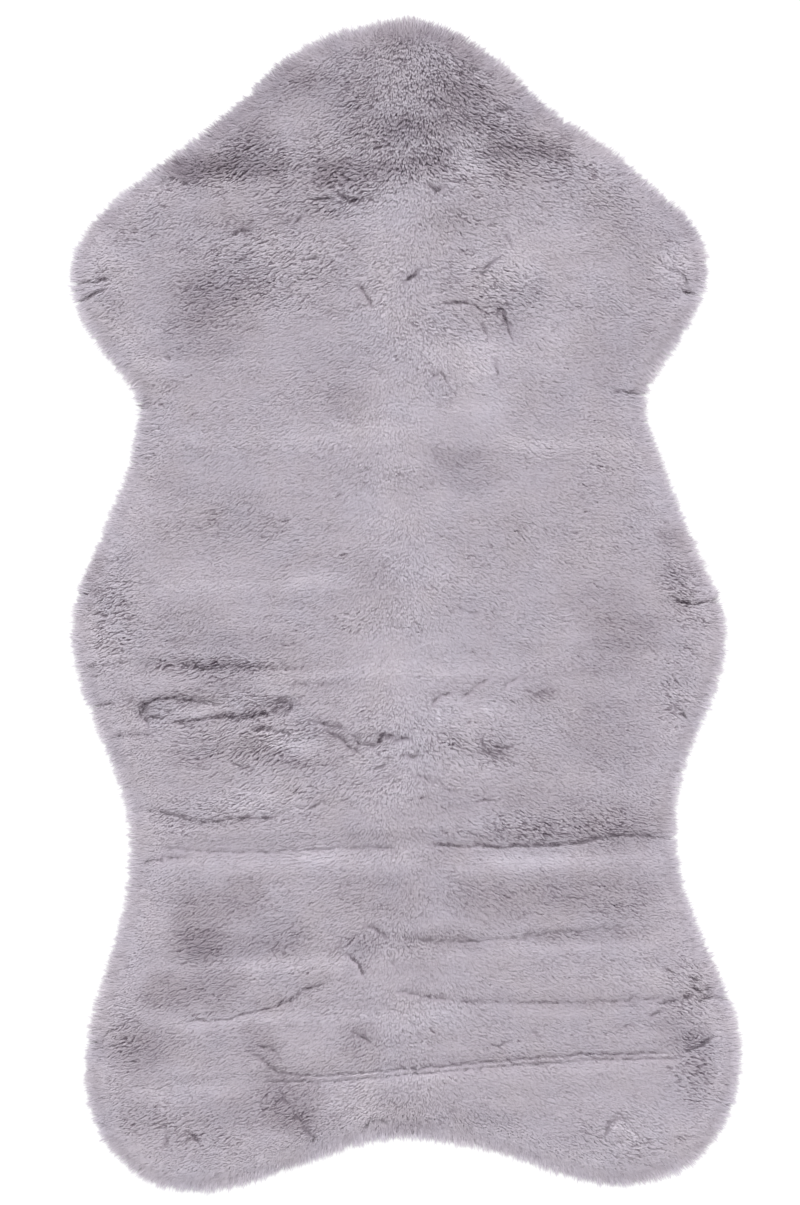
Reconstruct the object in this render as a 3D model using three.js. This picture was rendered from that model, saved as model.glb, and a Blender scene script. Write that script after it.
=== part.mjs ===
// A fur rug in the outline of a hide, laid flat: one lumpy slab of pile, with locks fanning out at its rim.
// Millimetres, +Z up. The head points along +Y, and the underside lies at z = 0.

import * as THREE from 'three';

// Driving dimensions of the whole rug.
const PILE_HEIGHT = 16.5;
const RIM_HEIGHT = 6.5;
const RIM_ROUNDING = 26;
const RELIEF_AT_RIM = 0.25;
const GRAIN_RISE = 0.25;

// Soft lumps all over: two waves across and along the rug, each bent by the other's direction.
const LUMPS = { rise: 0.7, pitch: 47, bend: 1.5, tighter: 1.3 };

// A crease's swollen lip lies this many of its half widths below its middle.
const LIP_PLACE = 1.2;

// Locks at the rim: how far they reach past the slab, and how unequal they are.
const LOCK_REACH = 14;
const LOCK_UNEVENNESS = 0.55;
const LONGEST_LOCKS = 0.35;
const LOCK_SWEEP = 5.5;

// Cells of the slab's upper side, across the rug and along it. Each cell at the rim carries one lock.
const CELLS_ACROSS = 46;
const CELLS_ALONG = 76;
const RIM_CELLS = 2;
const RIM_CELL_SHARE = 0.65;
const STEPS_A_ROW = 12;
const BEND_FADING = 1.6;

// The outline over the tips of the locks, clockwise from the tip of the head, seen from above.
const OUTLINE = [
  { place: 'head tip', x: 0, y: 523 },
  { place: 'head tip', x: 33, y: 517 },
  { place: 'head, right', x: 82, y: 488 },
  { place: 'head, right', x: 134, y: 440 },
  { place: 'head, right', x: 180, y: 411 },
  { place: 'neck, right', x: 228, y: 369 },
  { place: 'shoulder, right', x: 259, y: 339 },
  { place: 'shoulder, right', x: 270, y: 308 },
  { place: 'shoulder, right', x: 265, y: 272 },
  { place: 'shoulder, right', x: 243, y: 232 },
  { place: 'waist, right', x: 220, y: 198 },
  { place: 'waist, right', x: 215, y: 175 },
  { place: 'flank, right', x: 240, y: 103 },
  { place: 'flank, right', x: 262, y: 46 },
  { place: 'hip, right', x: 283, y: 1 },
  { place: 'hip, right', x: 286, y: -33 },
  { place: 'hip, right', x: 278, y: -72 },
  { place: 'loin, right', x: 255, y: -130 },
  { place: 'loin, right', x: 243, y: -168 },
  { place: 'loin, right', x: 243, y: -222 },
  { place: 'thigh, right', x: 259, y: -281 },
  { place: 'thigh, right', x: 287, y: -342 },
  { place: 'foot, right', x: 299, y: -392 },
  { place: 'foot, right', x: 295, y: -436 },
  { place: 'foot, right', x: 281, y: -471 },
  { place: 'foot, right', x: 253, y: -501 },
  { place: 'foot, right', x: 222, y: -514 },
  { place: 'foot, right', x: 190, y: -520 },
  { place: 'tail, right', x: 142, y: -511 },
  { place: 'tail, right', x: 90, y: -493 },
  { place: 'tail, right', x: 40, y: -482 },
  { place: 'tail notch', x: -6, y: -477 },
  { place: 'tail, left', x: -44, y: -484 },
  { place: 'tail, left', x: -101, y: -505 },
  { place: 'tail, left', x: -157, y: -522 },
  { place: 'foot, left', x: -203, y: -524 },
  { place: 'foot, left', x: -239, y: -511 },
  { place: 'foot, left', x: -271, y: -478 },
  { place: 'foot, left', x: -287, y: -432 },
  { place: 'foot, left', x: -284, y: -383 },
  { place: 'thigh, left', x: -271, y: -331 },
  { place: 'thigh, left', x: -252, y: -266 },
  { place: 'loin, left', x: -247, y: -216 },
  { place: 'loin, left', x: -252, y: -172 },
  { place: 'loin, left', x: -274, y: -117 },
  { place: 'hip, left', x: -291, y: -71 },
  { place: 'hip, left', x: -299, y: -24 },
  { place: 'hip, left', x: -291, y: 20 },
  { place: 'flank, left', x: -271, y: 67 },
  { place: 'flank, left', x: -250, y: 118 },
  { place: 'waist, left', x: -243, y: 150 },
  { place: 'waist, left', x: -241, y: 184 },
  { place: 'shoulder, left', x: -268, y: 220 },
  { place: 'shoulder, left', x: -291, y: 257 },
  { place: 'shoulder, left', x: -300, y: 289 },
  { place: 'shoulder, left', x: -292, y: 326 },
  { place: 'neck, left', x: -249, y: 372 },
  { place: 'head, left', x: -193, y: 414 },
  { place: 'head, left', x: -142, y: 457 },
  { place: 'head, left', x: -105, y: 491 },
  { place: 'head, left', x: -48, y: 516 },
];

// The rows of OUTLINE at which one side of the slab's grid ends and the next begins.
const CORNERS = { rightShoulder: 6, rightFoot: 25, leftFoot: 36, leftShoulder: 55 };

// Soft mounds of the pile, and hollows where rise is below zero: middle, half widths and height.
const MOUNDS = [
  { name: 'cap of the head', x: -10, y: 470, acrossX: 120, acrossY: 45, rise: 0.8 },
  { name: 'left cheek', x: -205, y: 345, acrossX: 60, acrossY: 50, rise: 1.4 },
  { name: 'rough patch below the neck', x: -140, y: 300, acrossX: 80, acrossY: 52, rise: -1.6 },
  { name: 'right shoulder', x: 170, y: 320, acrossX: 80, acrossY: 70, rise: 1.5 },
  { name: 'parted patch', x: 80, y: 270, acrossX: 48, acrossY: 40, rise: -1.5 },
  { name: 'hollow, left of the middle', x: -77, y: 208, acrossX: 46, acrossY: 36, rise: -1.7 },
  { name: 'hollow, right of the middle', x: 44, y: 130, acrossX: 48, acrossY: 34, rise: -1.7 },
  { name: 'hollow on the left flank', x: -172, y: 80, acrossX: 60, acrossY: 42, rise: -1.3 },
  { name: 'hollow in the middle', x: -28, y: 32, acrossX: 38, acrossY: 32, rise: -1.8 },
  { name: 'swell of the back', x: 130, y: 60, acrossX: 90, acrossY: 70, rise: 1.1 },
  { name: 'swell of the loin', x: 60, y: -110, acrossX: 150, acrossY: 50, rise: 1.3 },
  { name: 'matted patch', x: -150, y: -112, acrossX: 90, acrossY: 48, rise: -1.5 },
  { name: 'left thigh', x: -190, y: -275, acrossX: 45, acrossY: 32, rise: -1.3 },
  { name: 'left foot', x: -225, y: -395, acrossX: 45, acrossY: 34, rise: -1.3 },
  { name: 'right foot', x: 225, y: -420, acrossX: 60, acrossY: 48, rise: 1.6 },
  { name: 'left of the tail', x: -125, y: -455, acrossX: 60, acrossY: 30, rise: -1.2 },
];

// Creases pressed into the pile, each a run of points with its depth and half width.
// Where rise is above zero the pile swells along the crease's lower lip.
const CREASES = [
  { name: 'neck fold', depth: 3.2, half: 20, rise: 0.6,
    run: [[-232, 383], [-70, 388], [60, 398], [168, 395]] },
  { name: 'ridge under the neck', depth: -1.3, half: 18, rise: 0,
    run: [[-180, 163], [-60, 158], [30, 165], [205, 160]] },
  { name: 'left flank ridge', depth: -1.4, half: 15, rise: 0,
    run: [[-228, 25], [-120, 25], [-55, 15]] },
  { name: 'upper hip crease', depth: 2.4, half: 15, rise: 1.3,
    run: [[-240, -56], [-90, -50], [40, -48], [255, -40]] },
  { name: 'matted loop, upper edge', depth: 2.2, half: 12, rise: 0,
    run: [[-236, -96], [-205, -84], [-160, -88]] },
  { name: 'matted loop, lower edge', depth: 3.4, half: 14, rise: 0,
    run: [[-236, -96], [-150, -101], [-105, -90]] },
  { name: 'parting under the loop', depth: 2.4, half: 14, rise: 0.8,
    run: [[-195, -132], [-120, -126], [-10, -120]] },
  { name: 'wavy crease', depth: 1.9, half: 14, rise: 0,
    run: [[-246, -184], [-190, -193], [-145, -193], [-95, -181]] },
  { name: 'long crease', depth: 3.6, half: 16, rise: 1.4,
    run: [[-235, -226], [-190, -217], [-20, -215], [130, -216], [235, -211]] },
  { name: 'first thigh fold', depth: 1.8, half: 14, rise: 1,
    run: [[-15, -300], [110, -298], [245, -284]] },
  { name: 'left thigh fold', depth: 1.5, half: 14, rise: 1,
    run: [[-235, -322], [-120, -312], [-30, -314]] },
  { name: 'slanted crease', depth: 2.4, half: 13, rise: 0.6,
    run: [[-192, -371], [-130, -361], [-75, -338]] },
  { name: 'second thigh fold', depth: 2, half: 14, rise: 1,
    run: [[-10, -345], [150, -352], [290, -344]] },
  { name: 'foot fold', depth: 2.9, half: 15, rise: 1.2,
    run: [[-215, -433], [-120, -423], [60, -409], [235, -399], [270, -388]] },
  { name: 'right hip slot', depth: 3, half: 11, rise: 0,
    run: [[240, 0], [284, 1]] },
  { name: 'left shoulder slot', depth: 3, half: 11, rise: 0,
    run: [[-296, 287], [-262, 291]] },
  { name: 'right shoulder slot', depth: 2.6, half: 11, rise: 0,
    run: [[240, 276], [266, 278]] },
];

// Patches where the pile stands in rough clumps: middle, half widths and the clumps' height.
const ROUGH_PATCHES = [
  { name: 'neck band', x: -25, y: 392, acrossX: 270, acrossY: 34, clumps: 1.5 },
  { name: 'below the neck, left', x: -125, y: 300, acrossX: 110, acrossY: 62, clumps: 1.2 },
  { name: 'below the neck, right', x: 75, y: 285, acrossX: 70, acrossY: 60, clumps: 1 },
  { name: 'matted loop', x: -165, y: -90, acrossX: 105, acrossY: 46, clumps: 1.5 },
  { name: 'under the loop', x: -40, y: -122, acrossX: 75, acrossY: 30, clumps: 1.2 },
  { name: 'right hip', x: 262, y: 5, acrossX: 40, acrossY: 45, clumps: 0.9 },
  { name: 'left shoulder', x: -275, y: 285, acrossX: 40, acrossY: 45, clumps: 0.9 },
];

// What an uneven number is drawn for.
const DRAW = { reach: 1, sweep: 2, grain: 3 };

// The same uneven number between 0 and 1 each time, from two counters.
function uneven(index, kind) {
  const spread = Math.sin(index * 12.9898 + kind * 78.233) * 43758.5453;
  return spread - Math.floor(spread);
}

// A soft bell: 1 at the middle and 0 from distance 1 outwards.
function bell(distance) {
  return distance >= 1 ? 0 : (1 - distance * distance) ** 2;
}

// A closed smooth curve through the rows of OUTLINE.
const curve = new THREE.CatmullRomCurve3(
  OUTLINE.map((row) => new THREE.Vector3(row.x, row.y, 0)),
  true,
  'centripetal',
);

// How far apart two points are along the outline, and across the rug.
const byLength = (a, b) => a.distanceTo(b);
const byWidth = (a, b) => Math.abs(a.x - b.x);

// Points at the given shares of the way along the outline, from one row of OUTLINE to another further round.
function alongOutline(from, to, shares, measure) {
  const rows = OUTLINE.length;
  const last = to > from ? to : to + rows;
  const fine = (last - from) * STEPS_A_ROW;
  const points = [];
  const reached = [0];
  for (let i = 0; i <= fine; i += 1) {
    const row = from + i / STEPS_A_ROW;
    points.push(curve.getPoint((row / rows) % 1));
    if (i > 0) reached.push(reached[i - 1] + measure(points[i], points[i - 1]));
  }
  let at = 0;
  return shares.map((share) => {
    const target = share * reached[fine];
    while (at < fine - 1 && reached[at + 1] < target) at += 1;
    const step = (target - reached[at]) / (reached[at + 1] - reached[at]);
    return points[at].clone().lerp(points[at + 1], Math.min(Math.max(step, 0), 1));
  });
}

// Shares of the way from 0 to 1 in cells of equal width, but for narrower ones at both ends.
function gridShares(cells) {
  const widths = [];
  for (let i = 0; i < cells; i += 1) {
    const atRim = i < RIM_CELLS || i >= cells - RIM_CELLS;
    widths.push(atRim ? RIM_CELL_SHARE : 1);
  }
  const total = widths.reduce((sum, width) => sum + width, 0);
  const shares = [0];
  for (const width of widths) {
    shares.push(shares[shares.length - 1] + width / total);
  }
  shares[cells] = 1;
  return shares;
}

// The four sides of the pile's reach, each from its upper or left end to its lower or right end.
const across = gridShares(CELLS_ACROSS);
const along = gridShares(CELLS_ALONG);
const backwards = (shares) => shares.map((share) => 1 - share).reverse();
const headSide = alongOutline(CORNERS.leftShoulder, CORNERS.rightShoulder, across, byWidth);
const rightSide = alongOutline(CORNERS.rightShoulder, CORNERS.rightFoot, along, byLength);
const tailSide = alongOutline(CORNERS.rightFoot, CORNERS.leftFoot, backwards(across), byWidth).reverse();
const leftSide = alongOutline(CORNERS.leftFoot, CORNERS.leftShoulder, backwards(along), byLength).reverse();

// The rim ring, clockwise from the left shoulder, as grid places. Each appears once.
const ring = [];
for (let i = 0; i < CELLS_ACROSS; i += 1) ring.push({ i, j: 0, tip: headSide[i] });
for (let j = 0; j < CELLS_ALONG; j += 1) ring.push({ i: CELLS_ACROSS, j, tip: rightSide[j] });
for (let i = CELLS_ACROSS; i > 0; i -= 1) ring.push({ i, j: CELLS_ALONG, tip: tailSide[i] });
for (let j = CELLS_ALONG; j > 0; j -= 1) ring.push({ i: 0, j, tip: leftSide[j] });

// The way out of the rug at each place of the ring, and the slab's edge one lock's reach inside it.
ring.forEach((place, k) => {
  const before = ring[(k + ring.length - 1) % ring.length].tip;
  const after = ring[(k + 1) % ring.length].tip;
  place.out = new THREE.Vector3(-(after.y - before.y), after.x - before.x, 0).normalize();
  place.edge = place.tip.clone().addScaledVector(place.out, -LOCK_REACH);
});

// The grid inside the slab's edge: straight rows from flank to flank, which bend towards head and tail.
const edgeAt = new Map(ring.map((place) => [`${place.i},${place.j}`, place.edge]));
const sideAt = (i, j) => edgeAt.get(`${i},${j}`);

function bendOf(i, j) {
  const straight = sideAt(0, j).clone().lerp(sideAt(CELLS_ACROSS, j), across[i]);
  return sideAt(i, j).clone().sub(straight);
}

function gridPoint(i, j) {
  const known = sideAt(i, j);
  if (known) return known.clone();
  const point = sideAt(0, j).clone().lerp(sideAt(CELLS_ACROSS, j), across[i]);
  point.addScaledVector(bendOf(i, 0), (1 - along[j]) ** BEND_FADING);
  point.addScaledVector(bendOf(i, CELLS_ALONG), along[j] ** BEND_FADING);
  return point;
}

// The distance from a point to a run of points, below zero on the run's lower side.
function distanceToRun(x, y, run) {
  let nearest = Infinity;
  let side = 1;
  for (let k = 0; k + 1 < run.length; k += 1) {
    const [ax, ay] = run[k];
    const [bx, by] = run[k + 1];
    const length = Math.hypot(bx - ax, by - ay);
    const share = ((x - ax) * (bx - ax) + (y - ay) * (by - ay)) / (length * length);
    const held = Math.min(Math.max(share, 0), 1);
    const offX = x - ax - held * (bx - ax);
    const offY = y - ay - held * (by - ay);
    const distance = Math.hypot(offX, offY);
    if (distance < nearest) {
      nearest = distance;
      side = Math.sign(offY) || 1;
    }
  }
  return nearest * side;
}

function distanceToRim(x, y) {
  let nearest = Infinity;
  for (const place of ring) {
    nearest = Math.min(nearest, Math.hypot(place.edge.x - x, place.edge.y - y));
  }
  return nearest;
}

function lumps(x, y) {
  const { rise, pitch, bend, tighter } = LUMPS;
  const acrossWave = Math.sin((x * Math.PI) / pitch + bend * Math.sin(y / pitch));
  const alongWave = Math.sin((y * Math.PI * tighter) / pitch + bend * Math.sin(x / pitch));
  return rise * (acrossWave + alongWave);
}

// The height of the pile's upper side: rounded down to the rim, lumpy, with its mounds and creases.
function pileHeight(x, y) {
  let relief = lumps(x, y);
  for (const mound of MOUNDS) {
    relief += mound.rise * bell(Math.hypot((x - mound.x) / mound.acrossX, (y - mound.y) / mound.acrossY));
  }
  for (const crease of CREASES) {
    const off = distanceToRun(x, y, crease.run);
    relief -= crease.depth * bell(Math.abs(off) / crease.half);
    relief += crease.rise * bell(Math.abs(off / crease.half + LIP_PLACE));
  }
  const inside = Math.min(distanceToRim(x, y) / RIM_ROUNDING, 1);
  const round = Math.sqrt(1 - (1 - inside) ** 2);
  const share = RELIEF_AT_RIM + (1 - RELIEF_AT_RIM) * round;
  return RIM_HEIGHT + (PILE_HEIGHT - RIM_HEIGHT) * round + relief * share;
}

// How far clumps lift or sink the pile at a place.
function roughness(x, y) {
  let clumps = GRAIN_RISE;
  for (const patch of ROUGH_PATCHES) {
    clumps += patch.clumps * bell(Math.hypot((x - patch.x) / patch.acrossX, (y - patch.y) / patch.acrossY));
  }
  return clumps;
}

// One closed body: the upper grid, the locks round it, and the flat underside.
function makePelt() {
  const positions = [];
  const faces = [];
  const addPoint = (x, y, z) => positions.push(x, y, z) / 3 - 1;
  const top = [];
  for (let j = 0; j <= CELLS_ALONG; j += 1) {
    top.push([]);
    for (let i = 0; i <= CELLS_ACROSS; i += 1) {
      const point = gridPoint(i, j);
      const grain = roughness(point.x, point.y) * (uneven(i + j * CELLS_ACROSS, DRAW.grain) * 2 - 1);
      top[j].push(addPoint(point.x, point.y, pileHeight(point.x, point.y) + grain));
    }
  }
  for (let j = 0; j < CELLS_ALONG; j += 1) {
    for (let i = 0; i < CELLS_ACROSS; i += 1) {
      const [a, b, c, d] = [top[j][i], top[j][i + 1], top[j + 1][i + 1], top[j + 1][i]];
      if ((i + j) % 2) faces.push(a, d, b, b, d, c);
      else faces.push(a, c, b, a, d, c);
    }
  }

  // A lock stands on the wall between two places of the ring, and its tip rests on the floor.
  const floor = ring.map((place) => addPoint(place.edge.x, place.edge.y, 0));
  ring.forEach((place, k) => {
    const next = (k + 1) % ring.length;
    const upperHere = top[place.j][place.i];
    const upperNext = top[ring[next].j][ring[next].i];
    const tip = place.tip.clone().lerp(ring[next].tip, 0.5);
    const out = place.out.clone().add(ring[next].out).normalize();
    const sweep = new THREE.Vector3(out.y, -out.x, 0);
    tip.addScaledVector(out, LOCK_REACH * LOCK_UNEVENNESS * (LONGEST_LOCKS - uneven(k, DRAW.reach)));
    tip.addScaledVector(sweep, LOCK_SWEEP * (uneven(k, DRAW.sweep) * 2 - 1));
    const lock = addPoint(tip.x, tip.y, 0);
    faces.push(upperHere, upperNext, lock);
    faces.push(floor[next], floor[k], lock);
    faces.push(floor[k], upperHere, lock);
    faces.push(upperNext, floor[next], lock);
  });

  // The underside is one flat face inside the roots of the locks.
  const contour = ring.map((place) => new THREE.Vector2(place.edge.x, place.edge.y));
  for (const [a, b, c] of THREE.ShapeUtils.triangulateShape(contour, [])) {
    faces.push(floor[c], floor[b], floor[a]);
  }

  const geometry = new THREE.BufferGeometry();
  geometry.setAttribute('position', new THREE.Float32BufferAttribute(positions, 3));
  geometry.setIndex(faces);
  geometry.computeBoundingBox();
  const middle = geometry.boundingBox.getCenter(new THREE.Vector3());
  geometry.translate(-middle.x, -middle.y, 0);
  geometry.computeVertexNormals();
  return geometry;
}

const fur = new THREE.MeshStandardMaterial({ color: '#b0a8b2', roughness: 0.95, metalness: 0 });
const pelt = new THREE.Mesh(makePelt(), fur);
pelt.name = 'pelt';

const group = new THREE.Group();
group.add(pelt);

export default group;
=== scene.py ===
# A faux fur rug in the outline of a hide, laid flat, seen from straight above.
# Tables are in millimetres in the frame of the CAD source's own tables: x across the rug, y towards the head.

import math
from collections import namedtuple

import bmesh
import bpy
import numpy as np
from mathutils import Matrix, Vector


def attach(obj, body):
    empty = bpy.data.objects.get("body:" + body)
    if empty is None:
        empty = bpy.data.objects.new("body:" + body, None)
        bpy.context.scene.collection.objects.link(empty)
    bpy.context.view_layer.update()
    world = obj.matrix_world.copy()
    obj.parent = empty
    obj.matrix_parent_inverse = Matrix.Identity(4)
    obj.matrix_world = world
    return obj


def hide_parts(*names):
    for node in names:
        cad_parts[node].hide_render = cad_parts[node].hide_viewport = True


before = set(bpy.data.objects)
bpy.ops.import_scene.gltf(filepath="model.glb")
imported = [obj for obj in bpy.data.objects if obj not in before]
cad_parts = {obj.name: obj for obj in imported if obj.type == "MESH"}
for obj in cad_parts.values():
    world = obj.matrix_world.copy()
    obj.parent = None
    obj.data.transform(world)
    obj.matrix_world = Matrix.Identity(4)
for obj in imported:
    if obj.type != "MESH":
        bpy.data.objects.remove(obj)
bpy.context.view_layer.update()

MM = 0.001
SHIFT = np.array([1.795, 1.712, 0.0])
SEED = 58

# Tables of places and sizes

OUTLINE = [
    (0, 523), (33, 517), (82, 488), (134, 440), (180, 411), (228, 369), (259, 339), (270, 308),
    (265, 272), (243, 232), (220, 198), (215, 175), (240, 103), (262, 46), (283, 1), (286, -33),
    (278, -72), (255, -130), (243, -168), (243, -222), (259, -281), (287, -342), (299, -392),
    (295, -436), (281, -471), (253, -501), (222, -514), (190, -520), (142, -511), (90, -493),
    (40, -482), (-6, -477), (-44, -484), (-101, -505), (-157, -522), (-203, -524), (-239, -511),
    (-271, -478), (-287, -432), (-284, -383), (-271, -331), (-252, -266), (-247, -216),
    (-252, -172), (-274, -117), (-291, -71), (-299, -24), (-291, 20), (-271, 67), (-250, 118),
    (-243, 150), (-241, 184), (-268, 220), (-291, 257), (-300, 289), (-292, 326), (-249, 372),
    (-193, 414), (-142, 457), (-105, 491), (-48, 516),
]
CORNERS = {"right_shoulder": 6, "right_foot": 25, "left_foot": 36, "left_shoulder": 55}
STEPS_A_ROW = 12

PILE_HEIGHT = 16.5
RIM_ROUNDING = 26.0
FRINGE_REACH = 14.0
LUMPS = {"rise": 0.7, "pitch": 47.0, "bend": 1.5, "tighter": 1.3}
LIP_PLACE = 1.2

Mound = namedtuple("Mound", "name x y across along rise")
MOUNDS = [
    Mound("cap of the head", -10, 470, 120, 45, 0.8),
    Mound("left cheek", -205, 345, 60, 50, 1.4),
    Mound("rough patch below the neck", -140, 300, 80, 52, -1.6),
    Mound("right shoulder", 170, 320, 80, 70, 1.5),
    Mound("parted patch", 80, 270, 48, 40, -1.5),
    Mound("hollow, left of the middle", -77, 208, 46, 36, -1.7),
    Mound("hollow, right of the middle", 44, 130, 48, 34, -1.7),
    Mound("hollow on the left flank", -172, 80, 60, 42, -1.3),
    Mound("hollow in the middle", -28, 32, 38, 32, -1.8),
    Mound("swell of the back", 130, 60, 90, 70, 1.1),
    Mound("swell of the loin", 60, -110, 150, 50, 1.3),
    Mound("matted patch", -150, -112, 90, 48, -1.5),
    Mound("left thigh", -190, -275, 45, 32, -1.3),
    Mound("left foot", -225, -395, 45, 34, -1.3),
    Mound("right foot", 225, -420, 60, 48, 1.6),
    Mound("left of the tail", -125, -455, 60, 30, -1.2),
]

Crease = namedtuple("Crease", "name depth half lip run")
CREASES = [
    Crease("neck fold", 3.2, 20, 0.6, [(-232, 383), (-70, 388), (60, 398), (168, 395)]),
    Crease("ridge under the neck", -1.3, 18, 0, [(-180, 163), (-60, 158), (30, 165), (205, 160)]),
    Crease("left flank ridge", -1.4, 15, 0, [(-228, 25), (-120, 25), (-55, 15)]),
    Crease("upper hip crease", 2.4, 15, 1.3, [(-240, -56), (-90, -50), (40, -48), (255, -40)]),
    Crease("matted loop, upper edge", 2.2, 12, 0, [(-236, -96), (-205, -84), (-160, -88)]),
    Crease("matted loop, lower edge", 3.4, 14, 0, [(-236, -96), (-150, -101), (-105, -90)]),
    Crease("parting under the loop", 2.4, 14, 0.8, [(-195, -132), (-120, -126), (-10, -120)]),
    Crease("wavy crease", 1.9, 14, 0, [(-246, -184), (-190, -193), (-145, -193), (-95, -181)]),
    Crease("long crease", 3.6, 16, 1.4, [(-235, -226), (-190, -217), (-20, -215), (130, -216), (235, -211)]),
    Crease("first thigh fold", 1.8, 14, 1, [(-15, -300), (110, -298), (245, -284)]),
    Crease("left thigh fold", 1.5, 14, 1, [(-235, -322), (-120, -312), (-30, -314)]),
    Crease("slanted crease", 2.4, 13, 0.6, [(-192, -371), (-130, -361), (-75, -338)]),
    Crease("second thigh fold", 2, 14, 1, [(-10, -345), (150, -352), (290, -344)]),
    Crease("foot fold", 2.9, 15, 1.2, [(-215, -433), (-120, -423), (60, -409), (235, -399), (270, -388)]),
    Crease("right hip slot", 3, 11, 0, [(240, 0), (284, 1)]),
    Crease("left shoulder slot", 3, 11, 0, [(-296, 287), (-262, 291)]),
    Crease("right shoulder slot", 2.6, 11, 0, [(240, 276), (266, 278)]),
]

# Where the pile stands in rough clumps, from 0 to 1.
Patch = namedtuple("Patch", "name x y across along strength")
ROUGH = [
    Patch("neck band, left", -175, 392, 120, 36, 0.95),
    Patch("neck band, middle", -40, 396, 110, 40, 0.9),
    Patch("neck band, right", 90, 402, 120, 42, 0.9),
    Patch("under the neck band", -60, 362, 90, 24, 0.7),
    Patch("below the neck, left", -140, 296, 90, 60, 0.55),
    Patch("below the neck, right", 60, 300, 60, 50, 0.25),
    Patch("parted patch", 90, 275, 50, 40, 0.45),
    Patch("upper hip line", -165, -56, 80, 16, 0.7),
    Patch("matted loop", -165, -95, 100, 34, 0.6),
    Patch("under the loop", -120, -128, 120, 34, 0.6),
    Patch("loin, left of the middle", -20, -125, 70, 34, 0.45),
    Patch("loin, right of the middle", 60, -130, 60, 34, 0.35),
    Patch("loin, lower", -60, -160, 130, 30, 0.3),
    Patch("right hip", 262, 15, 48, 55, 0.9),
    Patch("right hip, lower", 245, -90, 40, 60, 0.3),
    Patch("left shoulder", -280, 280, 42, 50, 0.5),
    Patch("right shoulder", 235, 300, 50, 60, 0.3),
    Patch("left hip", -270, 0, 45, 80, 0.8),
    Patch("left waist", -235, 150, 24, 60, 0.7),
    Patch("wavy crease", -170, -188, 100, 28, 0.45),
    Patch("long crease, right", 120, -200, 130, 26, 0.45),
    Patch("right foot", 262, -350, 44, 60, 0.45),
    Patch("right foot, lower", 265, -415, 44, 50, 0.6),
    Patch("left foot, upper", -262, -380, 36, 60, 0.5),
    Patch("tail side, left", -190, -472, 60, 30, 0.45),
    Patch("tail side, right", 195, -470, 80, 36, 0.5),
    Patch("left cheek", -240, 355, 50, 40, 0.5),
    Patch("neck, right", 190, 372, 60, 50, 0.4),
    Patch("cap", 0, 455, 170, 70, 0.45),
    Patch("cluster under the band", -62, 362, 44, 16, 0.4),
    Patch("upper back", 0, 300, 260, 90, 0.2),
    Patch("left of the streaks", 40, 225, 60, 50, 0.25),
    Patch("inside the loop", -178, -94, 46, 12, -0.45),
    Patch("pale pocket under the loop", -78, -126, 40, 14, -0.5),
    Patch("left of the grey pit", -20, 240, 60, 40, 0.1),
]

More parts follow.
